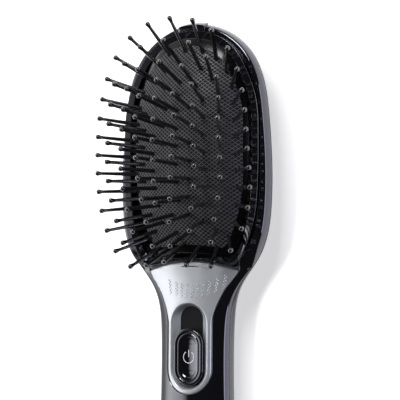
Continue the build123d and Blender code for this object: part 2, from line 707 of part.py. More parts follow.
def make_battery_door():
    """Lower back of the handle, with its end, guide rails, tongue and thumb grooves."""
    form = back_form()
    door = form - back_form(WALL)
    for side in (-1, 1):
        x = sorted((side * (TRAY_HALF_WIDTH - 0.4), side * (GRIP_HALF_WIDTH + 2)))
        door += slab(x, (HANDLE_END + 18, DOOR_SPLIT_Y - 3), RAIL_Z) & form
    for i in range(5):
        y = DOOR_SPLIT_Y - 8 - 2.2 * i
        door -= slab((-6, 6), (y - 0.5, y + 0.5), (-1, 0.6))
    keep = slab((-60, 60), (HANDLE_END - 5, DOOR_SPLIT_Y - 0.2), (-1, SEAM_Z - SEAM_GAP))
    door &= keep
    tongue_x = (-TONGUE_HALF_WIDTH, TONGUE_HALF_WIDTH)
    root = slab(tongue_x, (DOOR_SPLIT_Y - 4, DOOR_SPLIT_Y - 0.2), (WALL / 2, TONGUE_Z))
    tip = slab(tongue_x, (DOOR_SPLIT_Y - 4, DOOR_SPLIT_Y + 4.5), (WALL + FIT_GAP, TONGUE_Z))
    return door + root + tip


def make_screw(x, y, z_seat):
    """Pan-head screw, head down on z_seat, shank below it."""
    head = rod(x, y, z_seat, z_seat + SCREW_HEAD_T, SCREW_HEAD_R)
    return head + rod(x, y, z_seat - SCREW_LENGTH + 1.2, z_seat, SCREW_R - 0.1)


def make_housing_screws():
    return [make_screw(x, y, WELL_FLOOR_Z - SCREW_HEAD_T) for x, y in HEAD_SCREWS]


def make_tray_screws():
    """Screws that point up into the front shell's bosses."""
    screws = []
    for y in TRAY_SCREWS:
        head = rod(0, y, TRAY_PLATE_Z - SCREW_HEAD_T, TRAY_PLATE_Z, SCREW_HEAD_R)
        screws.append(head + rod(0, y, TRAY_PLATE_Z, TRAY_TOP_Z + 2.4, SCREW_R - 0.1))
    return screws


def make_pad_frame():
    """Gloss ring around the cushion, with the lift tab at the head's top."""
    lip = raised(pad_face(), PAD_EDGE_Z - PAD_LIP_T, PAD_EDGE_Z)
    skirt = raised(pad_face(PAD_LEDGE + FIT_GAP), FLANGE_TOP_Z, PAD_EDGE_Z)
    frame = lip + skirt
    frame -= raised(pad_face(PAD_RING), 0, 40)
    tab_form = front_wall_form(-TAB_PROUD)
    tab = slab(
        (-TAB_HALF_WIDTH, TAB_HALF_WIDTH),
        (HEAD_TOP - 5.5, HEAD_TOP + 5),
        (FLANGE_TOP_Z, PAD_EDGE_Z - PAD_LIP_T + 0.5),
    )
    return frame + (tab & tab_form)


def cushion_height(x, y):
    """Height of the cushion's outer face: one arc across the head carried along another."""
    across = CUSHION_CROSS_R - sqrt(CUSHION_CROSS_R**2 - x**2)
    along = CUSHION_LENGTH_R - sqrt(CUSHION_LENGTH_R**2 - (y - CUSHION_CREST_Y) ** 2)
    return CUSHION_PEAK_Z - across - along


def cushion_dome(thinner=0.0):
    """Solid under the dome, in flat facets, which an arc carried along an arc allows."""
    half_width, columns, rows = HEAD_HALF_WIDTH - 4, 14, 18
    low, high = PLATE_TOP_Y - 2, HEAD_TOP - 2
    xs = [mix(-half_width, half_width, i / columns) for i in range(columns + 1)]
    ys = [mix(low, high, j / rows) for j in range(rows + 1)]
    grid = [[(x, y, cushion_height(x, y) - thinner) for x in xs] for y in ys]
    faces = []
    for near, far in zip(grid, grid[1:]):
        for i in range(columns):
            faces.append(Face(Wire.make_polygon([near[i], near[i + 1], far[i + 1], far[i]])))

    def floor(point):
        return (point[0], point[1], 0)

    rims = [grid[0], [row[-1] for row in grid], grid[-1][::-1], [row[0] for row in grid][::-1]]
    for rim in rims:
        faces.append(Face(Wire.make_polygon([*rim, floor(rim[-1]), floor(rim[0])])))
    faces.append(Face(Wire.make_polygon([floor(rim[0]) for rim in rims])))
    return Solid(Shell(faces))


# Pin rows on the cushion: right-hand path of each nested row, pins on it, share of it before
# the first pin, and whether the row closes at the mirror plane
PIN_ROWS = {
    "pins_row_1": (
        [
            (0, 43.1), (10.6, 41.1), (17.6, 35.3), (22, 23.1),
            (23.8, -1.5), (21.2, -29.3), (15.1, -38), (0, -36.8),
        ],
        15,
        0.073,
        True,
    ),
    "pins_row_2": (
        [(0, 36.2), (6.9, 35.6), (15.5, 27.8), (17.6, 12.3), (17.9, -13.1), (14.6, -31.5)],
        11,
        0.109,
        False,
    ),
    "pins_row_3": ([(0, 29.4), (6.6, 28.2), (11.6, 10.3), (11.8, -11.8), (9.4, -27.9)], 9, 0.119, False),
    "pins_row_4": ([(0, 23.6), (3.3, 22.2), (6.4, 10.0), (5.2, -13.1), (3.0, -32.3)], 8, 0.134, False),
}
CENTRE_ROW_TOP = 17.5
CENTRE_ROW_PITCH = 7.3
CENTRE_ROW_PINS = 6


def row_places(path, count, first, closes):
    """Base points of one mirrored row, evenly spaced along its path after the first gap."""
    runs = [hypot(after[0] - before[0], after[1] - before[1]) for before, after in zip(path, path[1:])]
    speed = sum(runs)
    last_run = (path[-1][0] - path[-2][0], path[-1][1] - path[-2][1])
    end = (-speed, 0) if closes else (last_run[0] * speed / runs[-1], last_run[1] * speed / runs[-1])
    curve = Edge.make_spline(
        path, tangents=[(speed, 0), end], parameters=run_shares(path), scale=False
    )
    places = [path[0]]
    if closes:
        places.append(path[-1])
    for i in range(count):
        share = first + (1 - first) * i / (count if closes else count - 1)
        point = curve.position_at(share * curve.length, position_mode=PositionMode.LENGTH)
        places.extend([(point.X, point.Y), (-point.X, point.Y)])
    return places


def pin_plane(x, y):
    """Plane at a pin's root, on the cushion, with Z along the fanned pin."""
    across = 0.484 * (x / 20) + 0.117 * (x / 20) ** 3
    along = 0.053 + 0.289 * (y / 40) + 0.312 * (y / 40) ** 3
    direction = Vector(tan(across), tan(along), 1).normalized()
    return Plane(origin=(x, y, cushion_height(x, y)), z_dir=direction)


def make_pin():
    """One pin upright at the origin: foot under the rubber, tapered shaft, ball tip."""
    under = -CUSHION_T - 0.85
    stages = [
        (under - PIN_FOOT_T, PIN_FOOT_R),
        (under, PIN_FOOT_R),
        (under + 0.15, PIN_ROOT_R),
        (PIN_LENGTH - 1.3, PIN_NECK_R),
        (PIN_LENGTH, PIN_BALL_R),
        (PIN_LENGTH + 0.95, PIN_BALL_R * 0.45),
    ]
    return facetted_spindle(stages)


def make_cushion(places):
    """Thin domed rubber membrane with a clamped flange and one hole for each pin."""
    edge = PAD_RING + 0.15
    shell = raised(pad_face(edge), FLANGE_Z, 60) & cushion_dome()
    shell -= raised(pad_face(edge + CUSHION_T), FLANGE_Z - 1, 60) & cushion_dome(CUSHION_T)
    flange = raised(pad_face(PAD_LEDGE + FIT_GAP), FLANGE_Z, FLANGE_TOP_Z)
    shell += flange - raised(pad_face(edge + CUSHION_T), FLANGE_Z - 1, 60)
    hole = facetted_spindle([(-6, PIN_ROOT_R + 0.12), (3, PIN_ROOT_R + 0.12)])
    return shell - [pin_plane(x, y).location * hole for x, y in places]


def make_pad_base():
    """Base plate under the cushion, with a vent and the pegs that hold the pad in its well."""
    base = raised(pad_face(PAD_LEDGE + FIT_GAP), PAD_BASE_Z, FLANGE_Z)
    base -= rod(0, 0, 0, 40, 2.5)
    for x, y in PEGS:
        base += rod(x, y, WELL_FLOOR_Z - PEG_LENGTH + FIT_GAP, FLANGE_Z - 0.2, PEG_R)
    return base


def main():
    save("rear_housing", make_rear_housing())
    save("front_housing", make_front_housing())
    save("face_plate", make_face_plate())
    save("switch_tray", make_switch_tray())
    save("switch_button", make_switch_button())
    save("switch_carrier", make_switch_carrier())
    save("slide_switch_knob", make_switch_knob())
    save("slide_switch_case", make_switch_case())
    save("circuit_board", make_circuit_board())
    save("ion_generator", make_ion_generator())
    save("electrode_holder", make_electrode_holder())
    save("emitter_needles", *make_needles())
    save("electrode_wires", *make_electrode_wires())
    save("power_wires", *make_power_wires())
    save("battery_wires", *make_battery_wires())
    save("battery_tray", make_battery_tray())
    save("battery_cell_left", make_cell(-CELL_X, 1))
    save("battery_cell_right", make_cell(CELL_X, -1))
    save("battery_contacts", *make_contacts())
    save("contact_bridge", make_contact_bridge())
    save("battery_door", make_battery_door())
    save("housing_screws", *make_housing_screws())
    save("tray_screws", *make_tray_screws())
    save("pad_frame", make_pad_frame())
    save("pad_base", make_pad_base())

    pin = make_pin()
    every_place = []
    for name, row in PIN_ROWS.items():
        places = row_places(*row)
        every_place.extend(places)
        save(name, *[pin_plane(x, y).location * pin for x, y in places])
    centre = [(0, CENTRE_ROW_TOP - CENTRE_ROW_PITCH * i) for i in range(CENTRE_ROW_PINS)]
    every_place.extend(centre)
    save("pins_centre", *[pin_plane(x, y).location * pin for x, y in centre])
    save("cushion", make_cushion(every_place))
    print("pins:", len(every_place))


main()
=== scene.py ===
"""Dressed model of a battery-powered ionic styling brush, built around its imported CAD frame."""
from math import cos, hypot, pi, radians, sin, sqrt

import bmesh
import bpy
from bpy.props import FloatProperty, IntProperty, PointerProperty, StringProperty
from mathutils import Matrix, Vector
from mathutils.bvhtree import BVHTree
from mathutils.geometry import interpolate_bezier


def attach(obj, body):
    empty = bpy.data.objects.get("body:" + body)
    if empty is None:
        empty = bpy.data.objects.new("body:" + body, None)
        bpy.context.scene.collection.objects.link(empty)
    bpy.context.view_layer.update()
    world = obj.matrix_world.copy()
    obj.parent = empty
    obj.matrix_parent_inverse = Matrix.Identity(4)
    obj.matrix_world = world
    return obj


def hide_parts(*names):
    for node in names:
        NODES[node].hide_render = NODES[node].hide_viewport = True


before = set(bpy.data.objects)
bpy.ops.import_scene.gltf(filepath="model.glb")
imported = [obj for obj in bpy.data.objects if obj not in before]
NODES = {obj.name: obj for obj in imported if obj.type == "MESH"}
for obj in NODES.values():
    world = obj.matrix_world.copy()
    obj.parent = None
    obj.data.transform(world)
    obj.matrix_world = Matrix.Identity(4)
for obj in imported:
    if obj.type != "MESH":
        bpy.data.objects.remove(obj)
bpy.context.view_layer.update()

bl_info = {
    "name": "Ionic styling brush",
    "version": (1, 0, 0),
    "blender": (4, 5, 0),
    "location": "3D View > Sidebar > Brush",
    "description": "Builds the visible pieces and finishes of an ionic styling brush around its CAD frame",
    "category": "Object",
}

MM = 0.001
PIN_NODES = ("pins_row_1", "pins_row_2", "pins_row_3", "pins_row_4", "pins_centre")

# Places and sizes of the CAD frame's pieces, in millimetres
CUSHION_T = 1.3
CUSHION_PEAK_Z = 30.2
CUSHION_CROSS_R = 38.3
CUSHION_LENGTH_R = 109.5
CUSHION_CREST_Y = 3.3
FLANGE_Z = 13.7
FLANGE_TOP_Z = 15.0
PAD_EDGE_Z = 19.0
PAD_LIP_T = 1.1
TAB_HALF_WIDTH = 6.5
PAD_CENTRE = Vector((0.0, 3.0, 0.0))
SEAM_Z = 13.0
HEAD_HALF_WIDTH = 35.7
GRIP_HALF_WIDTH = 17.2
HANDLE_END = -190.0
FRONT_RISE = 7.4
HEAD_FACE_Z = 17.6
HANDLE_FACE_Z = 19.8
HEAD_CROWN_R = 2000.0
HANDLE_CROWN_R = 32.7
HEAD_FRONT_INSET = 6.0
HANDLE_FRONT_INSET = 10.0
HEAD_BACK_INSET = 16.0
HANDLE_BACK_INSET = 11.0
DOOR_SPLIT_Y = -110.0
PLATE_T = 1.2
PLATE_TOP_Y = -44.0
PLATE_CORNER = (21.6, -47.7)
PLATE_FLANK = (15.0, -56.6)
PLATE_WAIST = (10.5, -70.0)
PLATE_END_Y = -99.0
WELL_BED_Z = 16.4
WELL_BED_HALF_WIDTH = 5.4
WELL_Y = (-95.5, -62.5)
WELL_SPREAD = 1.364
WELL_END_SPREAD = 0.4
WELL_RIM_DEPTH = 2.4
BUTTON_HALF_WIDTH = 7.0
BUTTON_Y = (-95.4, -71.7)
BUTTON_FOOT_Z = 16.7
BUTTON_TOP_Z = 19.5
STEM_SIZE = (3.2, 6.0)
CARRIER_TOP_Z = 12.9
HEAD_BACK_POWER = 1.35
HANDLE_BACK_POWER = 2.0

# The head's sections turn into the handle's between these places along the brush
NECK_Y = (-35.0, -70.0)
CROWN_NECK_Y = (-36.0, -72.0)

# Sizes of the dressed model alone, in millimetres
SHELL_T = 1.0
SINK_ABOVE = (0.2, 0.45)
SHELL_UNDER_LIP = 1.3
PLATE_GAP = 0.15
EDGE_TURN = 0.8
HEAD_FAN_Y = 20.0
TAIL_FAN_Y = HANDLE_END + 22.0
HEAD_OVERREACH = 5.0
GRIP_OVERREACH = 6.0
NOTCH_GAP = 0.3
NOTCH_MIN_Y = 40.0
CUSHION_ROLL = 0.3
PAD_SINK = 1.5
PAD_SINK_Y = (-30.0, -42.0)
PAD_FLAT_SHARE = 0.18
TAB_ROOT_Y = 51.6
TAB_RISE = 0.45
PLATE_PROUD = 0.2
PLATE_ROUNDING = 1.1
WELL_ROUNDING = 0.35
SLIT_LENGTH = 8.0
SLIT_WIDTH = 0.45
SLIT_Y = -46.1
BUTTON_FOOT_HALF_WIDTH = 4.9
BUTTON_FOOT_INSET = 1.0
STEM_OVERLAP = 0.5
SYMBOL_Y = -83.5
SYMBOL_HALF_LINE = 0.17
SYMBOL_GAP_DEGREES = 34
INK_LIFT = 0.05
INK_T = 0.09
CELL_BAND_Y = -132.0

# Rays at the CAD nodes start this far out, in metres
FAR_OUT = 0.09
# Rounds of averaging that take the CAD's flat steps out of an outline
PAD_ROUNDS = 12
SEAM_ROUNDS = 14

# Camera, from the fit of the pins' roots and tips: turn about Y, tilt about X, roll, in degrees
CAMERA_TURN = 30.97
CAMERA_TILT = 3.12
CAMERA_ROLL = -0.32
CAMERA_PLACE = (18.94, -20.0, 639.0)
CAMERA_AIM_Z = 47.4
CAMERA_LENS = 143.8


class BrushSizes(bpy.types.PropertyGroup):
    """Sizes of the details that the CAD frame leaves to the dressed model."""

    frame_samples: IntProperty(
        name="Outline steps", description="Points around the pad's outline", default=288, min=48
    )
    border: FloatProperty(
        name="Plain border", description="Smooth rubber between the lattice and the frame",
        default=3.5 * MM, subtype="DISTANCE", unit="LENGTH",
    )
    lattice_x: FloatProperty(
        name="Lattice width", description="Repeat of the rubber's lattice across the head",
        default=2.05 * MM, subtype="DISTANCE", unit="LENGTH",
    )
    lattice_y: FloatProperty(
        name="Lattice length", description="Repeat of the rubber's lattice along the head",
        default=1.63 * MM, subtype="DISTANCE", unit="LENGTH",
    )
    dot_radius: FloatProperty(
        name="Dot radius", description="Radius of the plate's raised dots",
        default=0.36 * MM, subtype="DISTANCE", unit="LENGTH",
    )
    symbol_radius: FloatProperty(
        name="Symbol radius", description="Radius of the power symbol on the button",
        default=2.45 * MM, subtype="DISTANCE", unit="LENGTH",
    )


class BrushColours(bpy.types.PropertyGroup):
    """Base colours, as sRGB hex values."""

    shell: StringProperty(name="Shell", description="Gloss black shells", default="050507")
    plate: StringProperty(name="Plate", description="Silver face plate", default="ced1d6")
    rubber: StringProperty(name="Rubber", description="Cushion rubber", default="040405")
    # The lattice colour is a painted highlight on the rubber's raised ridges
    lattice: StringProperty(name="Lattice", description="Raised lattice on the rubber", default="5e5e61")
    pin: StringProperty(name="Pins", description="Ball-tipped pins", default="070709")
    print_ink: StringProperty(name="Print", description="Power symbol", default="c9ccd1")


def sizes():
    return bpy.context.scene.brush_sizes


def colours():
    return bpy.context.scene.brush_colours


def linear(hex_colour):
    """Linear RGBA of an sRGB hex colour."""
    channels = [int(hex_colour[i:i + 2], 16) / 255 for i in (0, 2, 4)]
    return (*[c / 12.92 if c <= 0.04045 else ((c + 0.055) / 1.055) ** 2.4 for c in channels], 1.0)


def node(tree, kind, inputs=None, **settings):
    """Adds a node with its settings, and sets or links each of its inputs."""
    made = tree.nodes.new(kind)
    for name, value in settings.items():
        setattr(made, name, value)
    for key, value in (inputs or {}).items():
        if isinstance(value, bpy.types.NodeSocket):
            tree.links.new(value, made.inputs[key])
        else:
            made.inputs[key].default_value = value
    return made


def new_finish(name, shader_values):
    """Material with a Principled shader, and its tree, shader and Object coordinates."""
    material = bpy.data.materials.get(name) or bpy.data.materials.new(name)
    material.use_nodes = True
    tree = material.node_tree
    tree.nodes.clear()
    shader = node(tree, "ShaderNodeBsdfPrincipled", shader_values)
    node(tree, "ShaderNodeOutputMaterial", {"Surface": shader.outputs[0]})
    place = node(tree, "ShaderNodeTexCoord").outputs["Object"]
    return material, tree, shader, place


def vary(
    tree, shader, place, grain, dark, light, rough=None, bump=None, edge=0.0, stretch=(1, 1, 1), base=None
):
    """Noise over a finish: grain in mm, two colours, roughness range, and bump and edge radius in mm."""
    grid = node(tree, "ShaderNodeMapping", {"Vector": place, "Scale": stretch}).outputs[0]
    inputs = {"Vector": grid, "Scale": 1 / (grain * MM), "Detail": 4.0, "Roughness": 0.6}
    noise = node(tree, "ShaderNodeTexNoise", inputs).outputs[0]
    if base is None:
        inputs = {0: noise, 6: linear(dark), 7: linear(light)}
        base = node(tree, "ShaderNodeMix", inputs, data_type="RGBA").outputs[2]
    tree.links.new(base, shader.inputs["Base Color"])
    if rough:
        span = node(tree, "ShaderNodeMapRange", {0: noise, 1: 0.3, 2: 0.7, 3: rough[0], 4: rough[1]})
        tree.links.new(span.outputs[0], shader.inputs["Roughness"])
    normal = None
    if edge:
        normal = node(tree, "ShaderNodeBevel", {"Radius": edge * MM}, samples=4).outputs[0]
    if bump:
        inputs = {"Height": noise, "Distance": bump * MM, "Strength": 1.0}
        if normal:
            inputs["Normal"] = normal
        normal = node(tree, "ShaderNodeBump", inputs).outputs[0]
    if normal:
        tree.links.new(normal, shader.inputs["Normal"])


def piano_black_abs():
    """Polished moulded ABS under a clear coat: deep black, mirror-like, with the faintest handling haze."""
    values = {
        "Roughness": 0.08, "IOR": 1.5, "Coat Weight": 1.0, "Coat Roughness": 0.03, "Coat IOR": 1.7,
        "Specular Tint": linear("d4d8ff"),
    }
    material, tree, shader, place = new_finish("piano_black_ABS", values)
    vary(tree, shader, place, 11.11, colours().shell, "08080c", rough=(0.06, 0.14))
    return material


def satin_silver_lacquer():
    """ABS sprayed with aluminium-flake lacquer: bright satin metal with a soft grain of flakes."""
    values = {"Metallic": 0.75, "Roughness": 0.38}
    material, tree, shader, place = new_finish("satin_silver_lacquer", values)
    # Flakes are about 0.05 mm, drawn at 0.25 mm so that they show
    vary(tree, shader, place, 0.25, "c4c7cc", colours().plate, rough=(0.34, 0.44), bump=0.004)
    return material


def buffed_silver_lacquer_painted_highlight():
    """The same lacquer polished by wear on the tops of the dots, and painted a lighter silver as a painted
    highlight: each one has a small bright glint.
    """
    values = {"Metallic": 0.85, "Roughness": 0.18}
    material, tree, shader, place = new_finish("buffed_silver_lacquer_painted_highlight", values)
    # The paler silver colours are a painted highlight on the dots; their lower roughness is real polish
    vary(tree, shader, place, 0.25, "d9dbdf", "eceef1", rough=(0.14, 0.24))
    return material


def eroded_abs(name, dark, light):
    """ABS moulded in a spark-eroded tool: matt with a fine even grain that traps most of its gloss."""
    values = {"Roughness": 0.5, "Specular IOR Level": 0.2}
    material, tree, shader, place = new_finish(name, values)
    vary(tree, shader, place, 0.3, dark, light, rough=(0.42, 0.6), bump=0.01, edge=0.15)
    return material


def natural_nylon():
    """Undyed moulded nylon: milky, slightly translucent, with a soft gloss."""
    values = {"Roughness": 0.4, "IOR": 1.53, "Subsurface Weight": 0.15, "Subsurface Scale": 1.0 * MM}
    material, tree, shader, place = new_finish("natural_nylon", values)
    vary(tree, shader, place, 2.5, "cfcdc2", "dddcd3", rough=(0.34, 0.48), bump=0.003, edge=0.15)
    return material


def nickel_strip():
    """Nickel-plated spring strip: bright, with fine lines along the way it was rolled."""
    values = {"Metallic": 1.0, "Roughness": 0.2}
    material, tree, shader, place = new_finish("nickel_plated_strip", values)
    vary(tree, shader, place, 0.4, "b8b4aa", "d6d2c8", rough=(0.14, 0.3), bump=0.002, stretch=(1, 0.06, 1))
    return material


def zinc_steel():
    """Zinc-plated steel screw: pale grey metal with a cloudy passivated skin."""
    values = {"Metallic": 1.0, "Roughness": 0.35}
    material, tree, shader, place = new_finish("zinc_plated_steel", values)
    vary(tree, shader, place, 1.429, "a3a6ab", "c3c6ca", rough=(0.28, 0.45), edge=0.12)
    return material


def solder_mask_board():
    """Glass-epoxy board under green solder mask: glossy, with the weave and copper just showing."""
    values = {"Roughness": 0.3, "Coat Weight": 0.6, "Coat Roughness": 0.1}
    material, tree, shader, place = new_finish("solder_mask_FR4", values)
    # Copper runs on a 2.54 mm grid show as paler green bands
    grid = {
        "Vector": place, "Color1": linear("11502c"), "Color2": linear("0e4526"), "Mortar": linear("1c6b3d"),
        "Scale": 1.0, "Mortar Size": 0.3 * MM, "Brick Width": 5.08 * MM, "Row Height": 2.54 * MM,
    }
    bands = node(tree, "ShaderNodeTexBrick", grid).outputs[0]
    vary(tree, shader, place, 0.667, None, None, rough=(0.25, 0.4), bump=0.004, base=bands)
    return material


def pvc_sleeve():
    """Extruded PVC wire cover: smooth red with a waxy gloss."""
    material, tree, shader, place = new_finish("PVC_wire_sleeve", {"Roughness": 0.35, "IOR": 1.53})
    vary(tree, shader, place, 1.667, "7d0f10", "9a1614", rough=(0.28, 0.42), bump=0.003)
    return material


def cell_jacket():
    """Plastic-sleeved steel cell: satin graphite jacket with a plain copper-coloured band."""
    material, tree, shader, place = new_finish("cell_jacket_film", {"Metallic": 0.75, "Roughness": 0.3})
    along = node(tree, "ShaderNodeSeparateXYZ", {"Vector": place}).outputs[1]
    inputs = {0: along, 1: CELL_BAND_Y * MM}
    band = node(tree, "ShaderNodeMath", inputs, operation="GREATER_THAN").outputs[0]
    inputs = {0: band, 6: linear("33363b"), 7: linear("a8733f")}
    shade = node(tree, "ShaderNodeMix", inputs, data_type="RGBA").outputs[2]
    vary(tree, shader, place, 3.333, None, None, rough=(0.24, 0.36), base=shade, edge=0.4)
    return material


def gloss_nylon():
    """Black moulded nylon, tumbled to a gloss: bright rims on each ball and thin lines down the shafts."""
    values = {"Roughness": 0.12, "IOR": 1.53, "Coat Weight": 1.0, "Coat Roughness": 0.05, "Coat IOR": 1.7}
    material, tree, shader, place = new_finish("gloss_black_nylon", values)
    vary(tree, shader, place, 2.0, colours().pin, "0b0b0e", rough=(0.1, 0.2))
    return material


def lattice_rubber():
    """Moulded rubber with a fine raised lattice: matt black, its thin ridges painted lighter grey as a
    painted highlight where they catch the light.
    """
    material, tree, shader, place = new_finish("lattice_rubber", {"Roughness": 0.8, "IOR": 1.5})
    split = node(tree, "ShaderNodeSeparateXYZ", {"Vector": place}).outputs
    turns = []
    for axis, repeat in ((0, sizes().lattice_x), (1, sizes().lattice_y)):
        inputs = {0: split[axis], 1: 2 * pi / repeat}
        turns.append(node(tree, "ShaderNodeMath", inputs, operation="MULTIPLY").outputs[0])
    waves = []
    for operation in ("ADD", "SUBTRACT"):
        phase = node(tree, "ShaderNodeMath", {0: turns[1], 1: turns[0]}, operation=operation).outputs[0]
        waves.append(node(tree, "ShaderNodeMath", {0: phase}, operation="COSINE").outputs[0])
    ridge = node(tree, "ShaderNodeMath", {0: waves[0], 1: waves[1]}, operation="MAXIMUM").outputs[0]
    inputs = {0: ridge, 1: 0.7, 2: 1.0, 3: 0.0, 4: 1.0}
    height = node(tree, "ShaderNodeMapRange", inputs, interpolation_type="SMOOTHSTEP").outputs[0]
    rim = node(tree, "ShaderNodeAttribute", attribute_name="from_edge").outputs["Fac"]
    border = sizes().border / MM
    inputs = {0: rim, 1: border - 0.15, 2: border + 0.15, 3: 0.0, 4: 1.0}
    inside = node(tree, "ShaderNodeMapRange", inputs).outputs[0]
    relief_and_highlight = node(tree, "ShaderNodeMath", {0: height, 1: inside}, operation="MULTIPLY").outputs[0]
    # The ridges' lighter grey is a painted highlight; the pits keep the rubber's black
    inputs = {0: relief_and_highlight, 6: linear(colours().rubber), 7: linear(colours().lattice)}
    shade = node(tree, "ShaderNodeMix", inputs, data_type="RGBA").outputs[2]
    tree.links.new(shade, shader.inputs["Base Color"])
    # The plain border is polished, the lattice's ground is matt and its ridges are worn smooth
    ground = node(tree, "ShaderNodeMapRange", {0: inside, 1: 0.0, 2: 1.0, 3: 0.14, 4: 0.8}).outputs[0]
    rough = node(tree, "ShaderNodeMix", {0: relief_and_highlight, 2: ground, 3: 0.3}).outputs[0]
    tree.links.new(rough, shader.inputs["Roughness"])
    bump = node(tree, "ShaderNodeBump", {"Height": relief_and_highlight, "Distance": 0.12 * MM, "Strength": 1.0})
    tree.links.new(bump.outputs[0], shader.inputs["Normal"])
    return material


def pad_print():
    """Pad-printed ink: pale grey, slightly uneven where the plastic shows through."""
    material, tree, shader, place = new_finish("pad_print_ink", {"Roughness": 0.35})
    vary(tree, shader, place, 0.5, "b6b9bf", colours().print_ink, rough=(0.3, 0.45))
    return material


def cad_surface(name):
    """Search tree over a CAD node's faces."""
    bm = bmesh.new()
    bm.from_mesh(NODES[name].data)
    tree = BVHTree.FromBMesh(bm)
    bm.free()
    return tree


def outline(name, z, count, from_inside=False):
    """Places around a CAD node at one height, by equal turns about the pad's centre."""
    tree = cad_surface(name)
    centre = PAD_CENTRE * MM
    places = []
    for i in range(count):
        turn = 2 * pi * i / count
        away = Vector((cos(turn), sin(turn), 0))
        start = centre + Vector((0, 0, z * MM))
        if not from_inside:
            start, away = start + away * FAR_OUT, -away
        hit = tree.ray_cast(start, away)[0]
        if hit is None:
            raise RuntimeError(f"no edge of {name} at {z} mm")
        places.append(hit)
    return places


def smoothed(places, rounds):
    """A closed outline with the CAD's flat steps averaged out of it."""
    for _ in range(rounds):
        before, after = places[-1:] + places[:-1], places[1:] + places[:1]
        places = [(a + b * 2 + c) / 4 for a, b, c in zip(before, places, after)]
    return places


def mix(a, b, share):
    return a + (b - a) * share


def ring_edges(bm, ring):
    return [bm.edges.get((a, b)) for a, b in zip(ring, ring[1:] + ring[:1])]


def first_ring(bm, places):
    """Closed ring of vertices at the given places."""
    made = bmesh.ops.create_circle(bm, cap_ends=False, segments=len(places), radius=1.0)["verts"]
    for vertex, place in zip(made, places):
        vertex.co = place
    return list(made)


def next_ring(bm, ring, places):
    """Extrudes a ring to new places, one for each of its vertices."""
    made = bmesh.ops.extrude_edge_only(bm, edges=ring_edges(bm, ring))["geom"]
    fresh = {v for v in made if isinstance(v, bmesh.types.BMVert)}
    moved = []
    for vertex, place in zip(ring, places):
        other = next(e.other_vert(vertex) for e in vertex.link_edges if e.other_vert(vertex) in fresh)
        other.co = place
        moved.append(other)
    return moved


def carry(bm, ring, sections):
    """Extrudes a ring through a list of sections, and gives the last ring."""
    for places in sections:
        ring = next_ring(bm, ring, places)
    return ring


def closed_band(bm, sections):
    """Band through a list of sections, joined from the last back to the first."""
    start = first_ring(bm, sections[0])
    ring = carry(bm, start, sections[1:])
    bmesh.ops.bridge_loops(bm, edges=ring_edges(bm, ring) + ring_edges(bm, start))


def close_ring(bm, ring, place):
    """Fills a ring with a fan about one place."""
    face = bmesh.ops.contextual_create(bm, geom=ring_edges(bm, ring))["faces"][0]
    hub = bmesh.ops.poke(bm, faces=[face])["verts"][0]
    hub.co = place


def settle(bm):
    """Puts edges and faces in the order of their vertices, because extruding makes them in any order."""
    bm.verts.index_update()
    for parts in (bm.edges, bm.faces):
        order = sorted(parts, key=lambda part: sorted(v.index for v in part.verts))
        for i, part in enumerate(order):
            part.index = i
        parts.sort()


def add_object(name, bm):
    """Object at the origin from a mesh under construction."""
    mesh = bpy.data.meshes.new(name)
    bm.to_mesh(mesh)
    bm.free()
    made = bpy.data.objects.new(name, mesh)
    bpy.context.scene.collection.objects.link(made)
    return made


def add_piece(name, bm, material, body, sharp=35.0, stands_for=(), turned=True):
    """Makes a finished mesh a piece of the brush, its faces turned outwards unless they already are."""
    if turned:
        bmesh.ops.recalc_face_normals(bm, faces=bm.faces)
    settle(bm)
    piece = add_object(name, bm)
    mesh = piece.data
    mesh.polygons.foreach_set("use_smooth", [True] * len(mesh.polygons))
    mesh.set_sharp_from_angle(angle=radians(sharp))
    mesh.materials.append(material)
    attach(piece, body)
    if stands_for:
        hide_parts(*stands_for)
    return piece


def cushion_height(x, y):
    """The dome's height in millimetres: one arc across the head carried along another."""
    across = CUSHION_CROSS_R - sqrt(CUSHION_CROSS_R**2 - x**2)
    along = CUSHION_LENGTH_R - sqrt(CUSHION_LENGTH_R**2 - (y - CUSHION_CREST_Y) ** 2)
    return CUSHION_PEAK_Z - across - along


def towards(place, centre, distance):
    """A point moved towards another by a distance in millimetres, kept at its own height."""
    step = Vector((centre.x - place.x, centre.y - place.y, 0)).normalized() * distance * MM
    return place + step


def at_height(place, z):
    return Vector((place.x, place.y, z * MM))


def over_dome(place, drop=0.0):
    return at_height(place, cushion_height(place.x / MM, place.y / MM) - drop)


DOME_STEPS = 26


